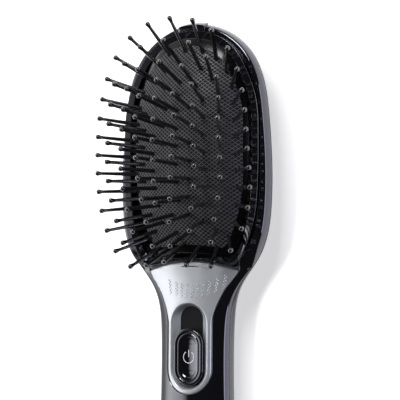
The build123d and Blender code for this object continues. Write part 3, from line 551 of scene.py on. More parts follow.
class BRUSH_OT_cushion(bpy.types.Operator):
    """Domed rubber membrane with its rounded rim, clamped flange and hollow underside"""

    bl_idname = "brush.cushion"
    bl_label = "Cushion"

    def execute(self, context):
        count = sizes().frame_samples
        centre = PAD_CENTRE * MM
        rim = smoothed(outline("cushion", FLANGE_TOP_Z + 0.6, count), PAD_ROUNDS)
        flange = smoothed(outline("cushion", (FLANGE_Z + FLANGE_TOP_Z) / 2, count), PAD_ROUNDS)
        inner = smoothed(outline("cushion", FLANGE_TOP_Z + 0.4, count, from_inside=True), PAD_ROUNDS)
        top = [
            [at_height(p, FLANGE_Z) for p in flange],
            [at_height(p, FLANGE_TOP_Z) for p in flange],
            [at_height(p, FLANGE_TOP_Z) for p in rim],
        ]
        for share in (0.0, 0.12, 0.3, 0.5, 0.7, 0.88, 1.0):
            inwards = CUSHION_ROLL * (1 - cos(share * pi / 2))
            drop = CUSHION_ROLL * (1 - sin(share * pi / 2))
            top.append([over_dome(towards(p, centre, inwards), drop) for p in rim])
        edge = [towards(p, centre, CUSHION_ROLL) for p in rim]
        for i in range(1, DOME_STEPS):
            top.append([over_dome(p.lerp(centre, i / DOME_STEPS)) for p in edge])
        under = []
        for share in (0.0, 0.15, 0.35, 0.55, 0.75, 0.9):
            under.append([over_dome(p.lerp(centre, share), CUSHION_T) for p in inner])
        bm = bmesh.new()
        start = first_ring(bm, [at_height(p, FLANGE_Z) for p in inner])
        close_ring(bm, carry(bm, start, top), over_dome(centre))
        close_ring(bm, carry(bm, start, under), over_dome(centre, CUSHION_T))
        rubber = lattice_rubber()
        piece = add_piece("cushion_membrane", bm, rubber, "pad", 50, ["cushion"])
        depth = piece.data.attributes.new("from_edge", "FLOAT", "POINT")
        for vertex, value in zip(piece.data.vertices, depth.data):
            value.value = min(hypot(vertex.co.x - p.x, vertex.co.y - p.y) for p in rim) / MM
        return {"FINISHED"}


def pad_section(outer, inner, share, z):
    """Ring of places between the pad frame's outlines, sunk towards the rubber in the lower band."""
    depth = PAD_SINK * max(share - PAD_FLAT_SHARE, 0.0) if z > FLANGE_TOP_Z + 1.0 else 0.0
    places = []
    for a, b in zip(outer, inner):
        places.append(at_height(a.lerp(b, share), z - depth * ease(*PAD_SINK_Y, a.y / MM)))
    return places


class BRUSH_OT_pad_frame(bpy.types.Operator):
    """Gloss ring around the cushion, sloping in to it, and the lift tab at the head's top"""

    bl_idname = "brush.pad_frame"
    bl_label = "Pad frame"

    def execute(self, context):
        count = sizes().frame_samples
        level = PAD_EDGE_Z - PAD_LIP_T / 2
        outer = smoothed(outline("pad_frame", level, count), PAD_ROUNDS)
        inner = smoothed(outline("pad_frame", level, count, from_inside=True), PAD_ROUNDS)
        under = PAD_EDGE_Z - PAD_LIP_T
        profile = [
            (0.72, FLANGE_TOP_Z), (0.72, under), (0.04, under), (0.0, under + 0.1), (0.0, PAD_EDGE_Z - 0.1),
            (0.015, PAD_EDGE_Z - 0.02), (0.03, PAD_EDGE_Z), (0.045, PAD_EDGE_Z), (0.18, PAD_EDGE_Z),
            (0.5, PAD_EDGE_Z), (0.94, PAD_EDGE_Z), (0.96, PAD_EDGE_Z), (0.985, PAD_EDGE_Z - 0.03),
            (1.0, PAD_EDGE_Z - 0.12), (1.0, FLANGE_TOP_Z),
        ]
        bm = bmesh.new()
        closed_band(bm, [pad_section(outer, inner, share, z) for share, z in profile])
        add_tab(bm)
        add_piece("pad_ring", bm, piano_black_abs(), "pad", 60, ["pad_frame"])
        return {"FINISHED"}


def add_tab(bm):
    """Lift tab: a block whose outer side follows the CAD tab, with rounded edges."""
    tree = cad_surface("pad_frame")
    low, high = FLANGE_TOP_Z, PAD_EDGE_Z - PAD_LIP_T + TAB_RISE
    tab = bmesh.new()
    bmesh.ops.create_cube(tab, size=1.0)
    along = [e for e in tab.edges if abs(e.verts[0].co.x - e.verts[1].co.x) > 0.5]
    bmesh.ops.subdivide_edges(tab, edges=along, cuts=11)
    for vertex in tab.verts:
        x = vertex.co.x * 2 * (TAB_HALF_WIDTH - 0.02) * MM
        z = mix(low, high, vertex.co.z + 0.5) * MM
        y = TAB_ROOT_Y * MM
        if vertex.co.y > 0:
            # The rays stay just inside the CAD tab's edges
            inside = mix(low + 0.05, high - 0.08, vertex.co.z + 0.5) * MM
            y = tree.ray_cast(Vector((x * 0.995, FAR_OUT, inside)), Vector((0, -1, 0)))[0].y
        vertex.co = (x, y, z)
    tab.normal_update()
    sharp = [e for e in tab.edges if e.calc_face_angle(0) > radians(50)]
    bmesh.ops.bevel(tab, geom=sharp, offset=0.25 * MM, segments=2, affect="EDGES", profile=0.5, material=-1)
    add_mesh(bm, tab)


def add_mesh(bm, part):
    """Adds one mesh under construction to another."""
    mesh = bpy.data.meshes.new("part")
    part.to_mesh(mesh)
    part.free()
    bm.from_mesh(mesh)
    bpy.data.meshes.remove(mesh)


# Height along a pin and radius there, from its foot under the rubber to the ball's end
PIN_PROFILE = [
    (-2.95, 1.7), (-2.15, 1.7), (-2.0, 0.98), (0.0, 0.95), (1.2, 0.92), (8.0, 0.82), (15.4, 0.7),
    (16.1, 0.8), (16.7, 0.97), (17.2, 1.1), (17.6, 1.07), (17.95, 0.9), (18.2, 0.58),
]
PIN_TIP = 18.35
PIN_SIDES = 14
# A CAD pin's foot disc and its tip are found by this many of its lowest and highest vertices
PIN_END_VERTS = 12


def pin_template():
    """One pin upright at the origin, turned from its profile."""
    bm = bmesh.new()
    turns = [2 * pi * i / PIN_SIDES for i in range(PIN_SIDES)]
    rings = [[Vector((r * cos(t), r * sin(t), z)) * MM for t in turns] for z, r in PIN_PROFILE]
    start = first_ring(bm, rings[0])
    close_ring(bm, carry(bm, start, rings[1:]), Vector((0, 0, PIN_TIP * MM)))
    close_ring(bm, start, Vector((0, 0, PIN_PROFILE[0][0] * MM)))
    bmesh.ops.recalc_face_normals(bm, faces=bm.faces)
    mesh = bpy.data.meshes.new("pin_template")
    bm.to_mesh(mesh)
    bm.free()
    return mesh


def pin_ends(island, axis):
    """Middles of a pin's foot disc and of its tip, which lie furthest down and up an axis."""
    island.sort(key=lambda v: v.co.dot(axis))
    ends = (island[:PIN_END_VERTS], island[-PIN_END_VERTS:])
    return [sum((v.co for v in end), Vector()) / PIN_END_VERTS for end in ends]


def pin_places(name):
    """Matrix of each pin in a CAD node, read from its foot disc and its tip."""
    bm = bmesh.new()
    bm.from_mesh(NODES[name].data)
    bmesh.ops.remove_doubles(bm, verts=bm.verts, dist=0.001 * MM)
    left = dict.fromkeys(bm.verts)
    foot_middle = (PIN_PROFILE[0][0] + PIN_PROFILE[1][0]) / 2
    matrices = []
    while left:
        stack = [left.popitem()[0]]
        island = list(stack)
        while stack:
            for edge in stack.pop().link_edges:
                for other in edge.verts:
                    if other in left:
                        del left[other]
                        stack.append(other)
                        island.append(other)
        foot, tip = pin_ends(island, Vector((0, 0, 1)))
        for _ in range(3):
            axis = (tip - foot).normalized()
            foot, tip = pin_ends(island, axis)
        root = foot - axis * foot_middle * MM
        matrices.append(Matrix.Translation(root) @ axis.to_track_quat("Z", "Y").to_matrix().to_4x4())
    bm.free()
    return matrices


class BRUSH_OT_pins(bpy.types.Operator):
    """Rows of tapered pins with teardrop ball tips"""

    bl_idname = "brush.pins"
    bl_label = "Pins"

    def execute(self, context):
        template = pin_template()
        material = gloss_nylon()
        for name in PIN_NODES:
            bm = bmesh.new()
            for matrix in pin_places(name):
                fresh = bmesh.new()
                fresh.from_mesh(template)
                fresh.transform(matrix)
                add_mesh(bm, fresh)
            add_piece("ball_" + name, bm, material, "pad", 60, [name])
        bpy.data.meshes.remove(template)
        return {"FINISHED"}


def ease(start, end, value):
    """Smooth step from 0 at start to 1 at end."""
    t = min(max((value - start) / (end - start), 0.0), 1.0)
    return t * t * (3 - 2 * t)


def crown_height(x, y):
    """Height of the front face in millimetres: nearly flat over the head, arched across the handle."""
    grip = ease(*CROWN_NECK_Y, y)
    # The arc spans more than the shell's width, so that it never ends on it
    half = mix(HEAD_HALF_WIDTH + HEAD_OVERREACH, GRIP_HALF_WIDTH + GRIP_OVERREACH, sqrt(grip))
    grip_sag = HANDLE_CROWN_R - sqrt(max(HANDLE_CROWN_R**2 - half**2, 0.0))
    sag = mix(half**2 / (2 * HEAD_CROWN_R), grip_sag, grip)
    radius = (half**2 + sag**2) / (2 * sag)
    return mix(HEAD_FACE_Z, HANDLE_FACE_Z, grip) - radius + sqrt(radius**2 - x**2)


def on_crown(place, drop=0.0):
    return at_height(place, crown_height(place.x / MM, place.y / MM) - drop)


# Steps along the right half of the plate's outline: top arc, each of two flanks, straight side, round end
PLATE_TOP_STEPS = 30
PLATE_FLANK_STEPS = 16
PLATE_SIDE_STEPS = 14
PLATE_END_STEPS = 26
# Directions of the outline at its corner, between the two flanks, and at its waist
PLATE_WAYS = ((-0.48, -0.88), (-0.479, -0.878), (0, -1))


def plate_half():
    """Right half of the face plate's outline, from its top to its round end, in metres."""
    corner, flank, waist = stops = [Vector((*p, 0)) for p in (PLATE_CORNER, PLATE_FLANK, PLATE_WAIST)]
    fall = PLATE_TOP_Y - corner.y
    radius = (corner.x**2 + fall**2) / (2 * fall)
    xs = [corner.x * i / PLATE_TOP_STEPS for i in range(PLATE_TOP_STEPS + 1)]
    half = [Vector((x, PLATE_TOP_Y - radius + sqrt(radius**2 - x**2), 0)) for x in xs]
    for start, way_out, end, way_in in zip(stops, PLATE_WAYS, stops[1:], PLATE_WAYS[1:]):
        reach = (end - start).length / 3
        out_handle = start + Vector((*way_out, 0)) * reach
        in_handle = end - Vector((*way_in, 0)) * reach
        half += interpolate_bezier(start, out_handle, in_handle, end, PLATE_FLANK_STEPS + 1)[1:]
    side_end = PLATE_END_Y + waist.x
    for i in range(1, PLATE_SIDE_STEPS + 1):
        half.append(Vector((waist.x, mix(waist.y, side_end, i / PLATE_SIDE_STEPS), 0)))
    turns = [pi / 2 * i / PLATE_END_STEPS for i in range(1, PLATE_END_STEPS + 1)]
    half += [Vector((waist.x * cos(t), side_end - waist.x * sin(t), 0)) for t in turns]
    return [p * MM for p in half]


def both_sides(half):
    """Closed outline from its right half, whose two ends lie on the mirror plane."""
    return half + [Vector((-p.x, p.y, p.z)) for p in reversed(half[1:-1])]


# Sections along the right half of the shells
HEAD_RAYS = 48
SIDE_RAYS = 88
PLATE_END_RAYS = 16
GRIP_RAYS = 36
TAIL_RAYS = 28


def shell_rays():
    """Starts on the mirror plane and directions that fan from the head's top to the handle's end."""
    waist = PLATE_WAIST[0]
    side_end = PLATE_END_Y + waist
    rays = [((0, HEAD_FAN_Y), (sin(a), cos(a))) for a in (pi / 2 * i / HEAD_RAYS for i in range(HEAD_RAYS))]
    rays += [((0, mix(HEAD_FAN_Y, side_end, i / SIDE_RAYS)), (1, 0)) for i in range(SIDE_RAYS)]
    turns = [pi / 2 * i / PLATE_END_RAYS for i in range(PLATE_END_RAYS)]
    rays += [((0, side_end - waist * sin(t)), (1, 0)) for t in turns]
    rays += [((0, mix(PLATE_END_Y, TAIL_FAN_Y, i / GRIP_RAYS)), (1, 0)) for i in range(GRIP_RAYS)]
    turns = [pi / 2 * i / TAIL_RAYS for i in range(TAIL_RAYS + 1)]
    rays += [((0, TAIL_FAN_Y), (cos(t), -sin(t))) for t in turns]
    return [(Vector((*start, 0)) * MM, Vector((*way, 0))) for start, way in rays]


def edge_hit(tree, z, start, way):
    """Where a node's outer side lies at a height, seen from outside along a ray's line."""
    return tree.ray_cast(start + way * FAR_OUT + Vector((0, 0, z)) * MM, -way)[0]


def seam_half():
    """Right half of the shells' widest outline, with its outward directions."""
    tree = cad_surface("front_housing")
    half = [edge_hit(tree, SEAM_Z + 0.2, *ray) for ray in shell_rays()]
    half = smoothed(both_sides(half), SEAM_ROUNDS)[:len(half)]
    half[0].x = half[-1].x = 0
    ring = [Vector((-half[1].x, half[1].y, 0)), *half, Vector((-half[-2].x, half[-2].y, 0))]
    ways = [Vector((b.y - a.y, a.x - b.x, 0)).normalized() * -1 for a, b in zip(ring, ring[2:])]
    return half, ways


def hole_half():
    """Right half of the opening for the pad and the plate, then the mirror plane down the handle."""
    tree = cad_surface("pad_frame")
    plate = plate_half()
    flank = list(zip(plate[PLATE_TOP_STEPS:], plate[PLATE_TOP_STEPS + 1:]))
    half = []
    for start, way in shell_rays():
        y = start.y / MM
        if y > PLATE_TOP_Y - 1.0:
            hit = edge_hit(tree, PAD_EDGE_Z - 0.5, start, way)
            half.append(at_height(hit - way * SHELL_UNDER_LIP * MM, 0))
        elif y > PLATE_END_Y:
            above, below = next((a, b) for a, b in flank if b.y <= start.y or b is plate[-1])
            share = min(max((above.y - start.y) / max(above.y - below.y, 1e-9), 0.0), 1.0)
            half.append(Vector((mix(above.x, below.x, share) + PLATE_GAP * MM, start.y, 0)))
        else:
            half.append(at_height(start, 0))
    return half


# Fine groove where the shells meet: inset from the widest outline, and distance from the seam
SEAM_GROOVE = ((0.6, 0.04), (0.12, 0.2))


def seam_groove(place, way, side):
    """The two lowest places of a shell's section, with the side as 1 for the front and -1 for the back."""
    return [at_height(place - way * inset * MM, SEAM_Z + side * off) for inset, off in SEAM_GROOVE]


def front_column(place, way, hole, open_here):
    """Section of the front shell's skin, from the seam up the wall and in over the crown."""
    inset_full = mix(HEAD_FRONT_INSET, HANDLE_FRONT_INSET, ease(*NECK_Y, place.y / MM))

    def wall(share):
        inset = (1 - sqrt(1 - share**2)) * inset_full
        return at_height(place - way * inset * MM, SEAM_Z + share * FRONT_RISE)

    # Halving finds the corner where the wall meets the crown
    low, high = 0.0, 0.95
    for _ in range(24):
        middle = (low + high) / 2
        here = wall(middle)
        low, high = (middle, high) if here.z < on_crown(here).z else (low, middle)
    corner = wall(low)
    top = low - min(EDGE_TURN / FRONT_RISE, 0.4 * low)
    column = seam_groove(place, way, 1)
    column += [wall(mix(min(0.045, top / 2), top, i / 5)) for i in range(6)]
    inwards = Vector((hole.x - corner.x, hole.y - corner.y, 0)).normalized()
    before, after = column[-1], on_crown(corner + inwards * EDGE_TURN * MM)
    for share in (0.25, 0.5, 0.75, 1.0):
        column.append(before.lerp(corner, share).lerp(corner.lerp(after, share), share))
    # The opening's edge is eased and then goes down as deep as the plate, and the handle's middle is closed
    rim = hole - inwards * 0.2 * MM if open_here else hole
    column += [on_crown(after.lerp(rim, share)) for share in (0.1, 0.25, 0.45, 0.7, 1.0)]
    column += [on_crown(hole, drop) for drop in ((0.12, PLATE_T) if open_here else (0.0, 0.0))]
    return column


def back_column(place, way):
    """Section of the rear skin, from the seam round to the flat resting face."""
    grip = ease(*NECK_Y, place.y / MM)
    power = mix(HEAD_BACK_POWER, HANDLE_BACK_POWER, grip)
    reach = mix(HEAD_BACK_INSET, HANDLE_BACK_INSET, grip)
    column = seam_groove(place, way, -1)
    for share in (0.025, 0.1, 0.2, 0.31, 0.42, 0.53, 0.63, 0.72, 0.8, 0.87, 0.925, 0.965, 0.99, 1.0):
        lean = 1 - (1 - share**power) ** (1 / power)
        column.append(at_height(place - way * lean * reach * MM, SEAM_Z * (1 - share)))
    return column


def skin(columns):
    """Surface through the sections of a shell's right half and their mirror images, and its last ring."""
    bm = bmesh.new()
    rings = [both_sides(list(places)) for places in zip(*columns)]
    ring = carry(bm, first_ring(bm, rings[0]), rings[1:])
    settle(bm)
    return bm, ring


def weld(bm):
    """Joins vertices that meet, and drops the slivers between them."""
    bmesh.ops.remove_doubles(bm, verts=bm.verts, dist=0.002 * MM)
    bmesh.ops.dissolve_degenerate(bm, dist=0.001 * MM, edges=bm.edges)


def thicken(bm):
    """Gives a skin its wall, on the inside, and returns search trees over the whole wall and its outside."""
    weld(bm)
    bmesh.ops.recalc_face_normals(bm, faces=bm.faces)
    outer = BVHTree.FromBMesh(bm)
    bmesh.ops.solidify(bm, geom=bm.faces, thickness=SHELL_T * MM)
    settle(bm)
    return BVHTree.FromBMesh(bm), outer


def add_inside(bm, name, trees):
    """Adds a CAD node's inner walls and bosses, its outer faces sunk into the skin's thickness."""
    inside = bmesh.new()
    inside.from_mesh(NODES[name].data)
    weld(inside)
    # The second pass catches what the first one pushed in from the wall's edge alone
    for tree, depth in zip(trees, SINK_ABOVE):
        for vertex in inside.verts:
            place, way, _, distance = tree.find_nearest(vertex.co)
            if distance < SHELL_T * MM and (vertex.co - place).dot(way) > -depth * MM:
                vertex.co = place - way * SHELL_T / 2 * MM
    add_mesh(bm, inside)


class BRUSH_OT_shells(bpy.types.Operator):
    """Gloss front and rear shells and the battery door"""

    bl_idname = "brush.shells"
    bl_label = "Shells"

    def execute(self, context):
        black = piano_black_abs()
        seam, ways = seam_half()
        holes = hole_half()
        opened = [hole.y >= PLATE_END_Y * MM - 1e-9 for hole in holes]
        front, _ = skin([front_column(*section) for section in zip(seam, ways, holes, opened)])
        self.cut_notch(front)
        add_inside(front, "front_housing", thicken(front))
        add_piece("front_shell", front, black, "handle", 32, ["front_housing"], turned=False)
        columns = [back_column(place, way) for place, way in zip(seam, ways)]
        for name, made_name, body, cut, kept in (
            ("rear_housing", "rear_shell", "handle", DOOR_SPLIT_Y + 0.2, 1),
            ("battery_door", "door_shell", "battery_door", DOOR_SPLIT_Y, -1),
        ):
            back, ring = skin(columns)
            bmesh.ops.contextual_create(back, geom=ring_edges(back, ring))
            place, way = Vector((0, cut, 0)) * MM, (0, -kept, 0)
            geometry = [*back.verts, *back.edges, *back.faces]
            bmesh.ops.bisect_plane(back, geom=geometry, plane_co=place, plane_no=way, clear_outer=True)
            add_inside(back, name, thicken(back))
            add_piece(made_name, back, black, body, 32, [name], turned=False)
        return {"FINISHED"}

    def cut_notch(self, bm):
        """Opening in the head's top wall that the pad's lift tab passes through."""
        reach, floor = (TAB_HALF_WIDTH + NOTCH_GAP) * MM, (FLANGE_TOP_Z - NOTCH_GAP) * MM
        planes = (((reach, 0, 0), (1, 0, 0)), ((-reach, 0, 0), (1, 0, 0)), ((0, 0, floor), (0, 0, 1)))
        for place, way in planes:
            near = [f for f in bm.faces if f.calc_center_median().y > NOTCH_MIN_Y * MM]
            geometry = dict.fromkeys(part for f in near for part in (*f.verts, *f.edges, f))
            bmesh.ops.bisect_plane(bm, geom=list(geometry), plane_co=place, plane_no=way)
        gone = []
        for face in bm.faces:
            middle = face.calc_center_median()
            if middle.y > NOTCH_MIN_Y * MM and abs(middle.x) < reach and middle.z > floor:
                gone.append(face)
        bmesh.ops.delete(bm, geom=gone, context="FACES")


# Fanned columns of dots on the plate: place of the first and last dot, and how many
DOT_COLUMNS = [
    (-10.0, -51.8, -9.1, -57.6), (-6.3, -52.8, -6.0, -57.9), (-3.4, -53.4, -3.4, -58.6),
    (-0.8, -53.5, -0.7, -58.8), (1.8, -53.5, 1.8, -58.8), (4.2, -53.4, 4.0, -58.7),
    (6.7, -53.1, 6.2, -58.4), (9.6, -52.3, 9.0, -57.6), (12.8, -51.4, 12.0, -56.6),
    (16.3, -49.9, 15.2, -55.2),
]
DOTS_IN_COLUMN = 9
DOT_STAGGER = 0.33
DOT_FLATNESS = 0.8

# Inset and drop of the plate's outer edge, from its foot up to its raised face
PLATE_EDGE = (
    (0.0, PLATE_T - 0.05), (0.0, 0.9), (0.05, 0.6), (0.15, 0.32), (0.32, 0.06), (0.56, -0.12), (0.85, -0.19),
)


def well_key(index):
    """Where in the switch's well a point of the plate's outline leads.

    X and Y are a direction at one of its round ends, with Z as 1 at the far end and -1 at the near end.
    On the straight side Z is 0 and Y is the share of the way along it.
    """
    waist = PLATE_TOP_STEPS + 2 * PLATE_FLANK_STEPS
    side_end = waist + PLATE_SIDE_STEPS
    if waist < index <= side_end:
        return Vector((1, (index - waist) / PLATE_SIDE_STEPS, 0))
    if index <= waist:
        turn, end = pi / 2 * (1 - index / waist), 1
    else:
        turn, end = -pi / 2 * (index - side_end) / PLATE_END_STEPS, -1
    return Vector((cos(turn), sin(turn), end))


def well_wall(key, rise):
    """Place on the well's sloping wall at a height above its bed."""
    half = WELL_BED_HALF_WIDTH + WELL_SPREAD * rise
    low = WELL_Y[0] - WELL_END_SPREAD * rise + half
    high = WELL_Y[1] + WELL_END_SPREAD * rise - half
    if key.z == 0:
        return Vector((key.x * half, mix(high, low, key.y), WELL_BED_Z + rise)) * MM
    middle = high if key.z > 0 else low
    return Vector((key.x * half, middle + key.y * half, WELL_BED_Z + rise)) * MM


def rim_rise(key):
    """Height above the bed where the well's wall meets the plate's raised face."""
    rise = WELL_RIM_DEPTH
    for _ in range(30):
        place = well_wall(key, rise)
        rise = mix(rise, crown_height(place.x / MM, place.y / MM) + PLATE_PROUD - WELL_BED_Z, 0.5)
    return rise


class BRUSH_OT_face_plate(bpy.types.Operator):
    """Silver plate with its ion slit, its switch well and its fanned columns of raised dots"""

    bl_idname = "brush.face_plate"
    bl_label = "Face plate"

    def execute(self, context):
        self.add_plate()
        self.add_dots()
        return {"FINISHED"}

    def add_plate(self):
        """Band of rings from the plate's foot, over its edge, face and well, and back underneath."""
        half = plate_half()
        outer = both_sides(half)
        well = both_sides([well_key(i) for i in range(len(half))])
        rises = [rim_rise(key) for key in well]
        rims = [well_wall(key, rise) for key, rise in zip(well, rises)]
        ways = [at_height(o - r, 0).normalized() for o, r in zip(outer, rims)]
        edges = [at_height(o - w * PLATE_ROUNDING * MM, 0) for o, w in zip(outer, ways)]
        lips = [at_height(r + w * WELL_ROUNDING * MM, 0) for r, w in zip(rims, ways)]
        rings = []
        for inset, drop in PLATE_EDGE:
            rings.append([on_crown(o - w * inset * MM, drop) for o, w in zip(outer, ways)])
        for share in (0.0, 0.06, 0.16, 0.3, 0.45, 0.6, 0.75, 0.88, 1.0):
            rings.append([on_crown(e.lerp(l, share), -PLATE_PROUD) for e, l in zip(edges, lips)])
        rings.append([on_crown(r + w * 0.1 * MM, 0.06 - PLATE_PROUD) for r, w in zip(rims, ways)])
        for share in (0.92, 0.7, 0.45, 0.2, 0.0):
            rings.append([well_wall(key, rise * share) for key, rise in zip(well, rises)])
        rings.append([well_wall(key, 0.0) + w * 0.8 * MM for key, w in zip(well, ways)])
        rings.append([on_crown(r + w * 0.9 * MM, PLATE_T) for r, w in zip(rims, ways)])
        rings.append([on_crown(e, PLATE_T) for e in edges])
        bm = bmesh.new()
        closed_band(bm, rings)
        silver = satin_silver_lacquer()
        piece = add_piece("silver_plate", bm, silver, "handle", 32, ["face_plate"])
        self.cut_slit(piece)

    def add_dots(self):
        """Flattened beads in fanned columns, every other one set a little to the side."""
        bm = bmesh.new()
        radius = sizes().dot_radius
        for x0, y0, x1, y1 in DOT_COLUMNS:
            for i in range(DOTS_IN_COLUMN):
                share = i / (DOTS_IN_COLUMN - 1)
                stagger = DOT_STAGGER if i % 2 else -DOT_STAGGER
                x, y = (mix(x0, x1, share) + stagger) * MM, mix(y0, y1, share) * MM
                place = on_crown(Vector((x, y, 0)), -PLATE_PROUD)
                matrix = Matrix.Translation(place) @ Matrix.Diagonal((1, 1, DOT_FLATNESS, 1))
                bmesh.ops.create_uvsphere(bm, u_segments=8, v_segments=6, radius=radius, matrix=matrix)
        add_piece("plate_dots", bm, buffed_silver_lacquer_painted_highlight(), "handle", 60)

    def cut_slit(self, piece):
        """Ion outlet: a slot right through the plate under its top edge."""
        bm = bmesh.new()
        place = Matrix.Translation(Vector((0, SLIT_Y, HEAD_FACE_Z)) * MM)
        size = Matrix.Diagonal((SLIT_LENGTH, SLIT_WIDTH, 6.0, 1))
        bmesh.ops.create_cube(bm, size=MM, matrix=place @ size)
        cutter = add_object("slit_cutter", bm)
        slot = piece.modifiers.new("slit", "BOOLEAN")
        slot.operation, slot.solver, slot.object = "DIFFERENCE", "EXACT", cutter
        graph = bpy.context.evaluated_depsgraph_get()
        piece.data = bpy.data.meshes.new_from_object(piece.evaluated_get(graph), depsgraph=graph)
        piece.modifiers.clear()
        bpy.data.objects.remove(cutter)


BUTTON_STEPS = 96
# Inset from the button's edge and height below its top, from the waist to the dish
BUTTON_RIM = [
    (0.0, 0.9), (0.0, 0.55), (0.07, 0.3), (0.22, 0.12), (0.45, 0.02), (0.7, 0.0), (1.35, 0.0), (1.5, 0.05),
    (1.62, 0.2), (1.8, 0.26), (2.05, 0.2), (2.15, 0.1), (2.3, 0.06), (2.5, 0.12),
]
# Shares of the way from the dish's edge to its middle line, closest where its ledge drops
DISH_SHARES = (0.08, 0.15, 0.19, 0.23, 0.27, 0.31, 0.36, 0.45, 0.6, 0.75, 0.88, 0.97)
DISH_DEPTH = 0.7
DISH_LEDGE = 0.2


def stadium(half_width, y_low, y_high, z):
    """Stadium outline: a half circle at each end, equal steps around them."""
    places = []
    for i in range(BUTTON_STEPS):
        turn = 2 * pi * (i + 0.5) / BUTTON_STEPS
        middle = y_high - half_width if turn < pi else y_low + half_width
        places.append(Vector((half_width * cos(turn), middle + half_width * sin(turn), z)) * MM)
    return places


def button_ring(inset, drop):
    """Ring set in from the button's edge and down from its top."""
    low, high = BUTTON_Y
    return stadium(BUTTON_HALF_WIDTH - inset, low + inset, high - inset, BUTTON_TOP_Z - drop)


def middle_line():
    """Near and far end of the button's middle line, between the centres of its round ends."""
    return BUTTON_Y[0] + BUTTON_HALF_WIDTH, BUTTON_Y[1] - BUTTON_HALF_WIDTH


def dish_top(x, y):
    """Height of the button's dish in millimetres."""
    reach = BUTTON_HALF_WIDTH - BUTTON_RIM[-1][0]
    low, high = middle_line()
    past = max(low - y, y - high, 0.0)
    share = min(hypot(x, past) / reach, 1.0)
    ledge = DISH_LEDGE * ease(0.84, 0.7, share) * ease(0.0, 1.5, past)
    return BUTTON_TOP_Z - BUTTON_RIM[-1][1] - DISH_DEPTH * (1 - share**2) - ledge


def in_dish(place, share):
    """Place in the dish, a share of the way from its edge to the middle line."""
    low, high = middle_line()
    moved = place.lerp(Vector((0, min(max(place.y / MM, low), high) * MM, place.z)), share)
    return at_height(moved, dish_top(moved.x / MM, moved.y / MM))


class BRUSH_OT_switch(bpy.types.Operator):
    """Dished slider button on its stem, with the power symbol"""

    bl_idname = "brush.switch"
    bl_label = "Switch"

    def execute(self, context):
        low, high = BUTTON_Y[0] + BUTTON_FOOT_INSET, BUTTON_Y[1] - BUTTON_FOOT_INSET
        rings = [button_ring(inset, drop) for inset, drop in BUTTON_RIM]
        edge = button_ring(BUTTON_RIM[-1][0], 0.0)
        rings += [[in_dish(place, share) for place in edge] for share in DISH_SHARES]
        bm = bmesh.new()
        start = first_ring(bm, stadium(BUTTON_FOOT_HALF_WIDTH, low, high, BUTTON_FOOT_Z))
        for ring in (carry(bm, start, rings), start):
            bmesh.ops.contextual_create(bm, geom=ring_edges(bm, ring))
        self.add_stem(bm)
        add_piece("button_cap", bm, piano_black_abs(), "power_switch", 50, ["switch_button"])
        self.add_symbol()
        return {"FINISHED"}

    def add_stem(self, bm):
        """Block from the carrier up into the button's foot, with rounded edges."""
        top = BUTTON_FOOT_Z + STEM_OVERLAP
        middle = Matrix.Translation(Vector((0, sum(BUTTON_Y) / 2, (CARRIER_TOP_Z + top) / 2)) * MM)
        size = Matrix.Diagonal((*STEM_SIZE, top - CARRIER_TOP_Z, 1))
        stem = bmesh.ops.create_cube(bm, size=MM, matrix=middle @ size)["verts"]
        edges = list(dict.fromkeys(e for v in stem for e in v.link_edges))
        offset = 0.2 * MM
        bmesh.ops.bevel(bm, geom=edges, offset=offset, segments=2, affect="EDGES", profile=0.5, material=-1)

    def add_symbol(self):
        """Power symbol: an open ring and a bar, printed on the dish."""
        bm = bmesh.new()
        radius, half_line = sizes().symbol_radius, SYMBOL_HALF_LINE * MM
        gap = radians(SYMBOL_GAP_DEGREES)
        reaches = (radius - half_line, radius + half_line)
        ends = [bm.verts.new((reach * sin(gap), reach * cos(gap), 0)) for reach in reaches]
        line = bm.edges.new(ends)
        sweep = 2 * (pi - gap)
        bmesh.ops.spin(bm, geom=[*ends, line], cent=(0, 0, 0), axis=(0, 0, -1), angle=sweep, steps=48)
        bar = bmesh.ops.create_grid(bm, x_segments=2, y_segments=10, size=1.0)["verts"]
        half_bar = radius * 0.62
        for vertex in bar:
            vertex.co = (vertex.co.x * half_line, half_bar + vertex.co.y * half_bar, 0)
        bmesh.ops.recalc_face_normals(bm, faces=bm.faces)
        for face in bm.faces:
            if face.normal.z < 0:
                face.normal_flip()
        bmesh.ops.translate(bm, verts=bm.verts, vec=(0, SYMBOL_Y * MM, 0))
        for vertex in bm.verts:
            vertex.co.z = (dish_top(vertex.co.x / MM, vertex.co.y / MM) + INK_LIFT) * MM
        bmesh.ops.solidify(bm, geom=bm.faces, thickness=INK_T * MM)
        add_piece("power_symbol", bm, pad_print(), "power_switch", 40)


class BRUSH_OT_inner_parts(bpy.types.Operator):
    """Finishes of the CAD pieces that keep their own form"""

    bl_idname = "brush.inner_parts"
    bl_label = "Inner parts"

    def execute(self, context):
        dark = eroded_abs("eroded_dark_ABS", "26272b", "323338")
        potting = eroded_abs("potting_block_ABS", "1a1b1f", "24252a")
        bed = eroded_abs("switch_bed_ABS", "08080b", "0e0e12")
        nylon, nickel, zinc = natural_nylon(), nickel_strip(), zinc_steel()
        sleeve, jacket = pvc_sleeve(), cell_jacket()
        finishes = {
            "switch_tray": bed, "switch_carrier": nylon, "slide_switch_knob": dark,
            "slide_switch_case": nickel, "circuit_board": solder_mask_board(), "ion_generator": potting,
            "electrode_holder": nylon, "emitter_needles": nickel, "electrode_wires": sleeve,
            "power_wires": sleeve, "battery_wires": sleeve, "battery_tray": dark,
            "battery_cell_left": jacket, "battery_cell_right": jacket, "battery_contacts": nickel,
            "contact_bridge": nickel, "housing_screws": zinc, "tray_screws": zinc, "pad_base": dark,
        }
        for name, material in finishes.items():
            slots = NODES[name].data.materials
            slots.clear()
            slots.append(material)
        return {"FINISHED"}


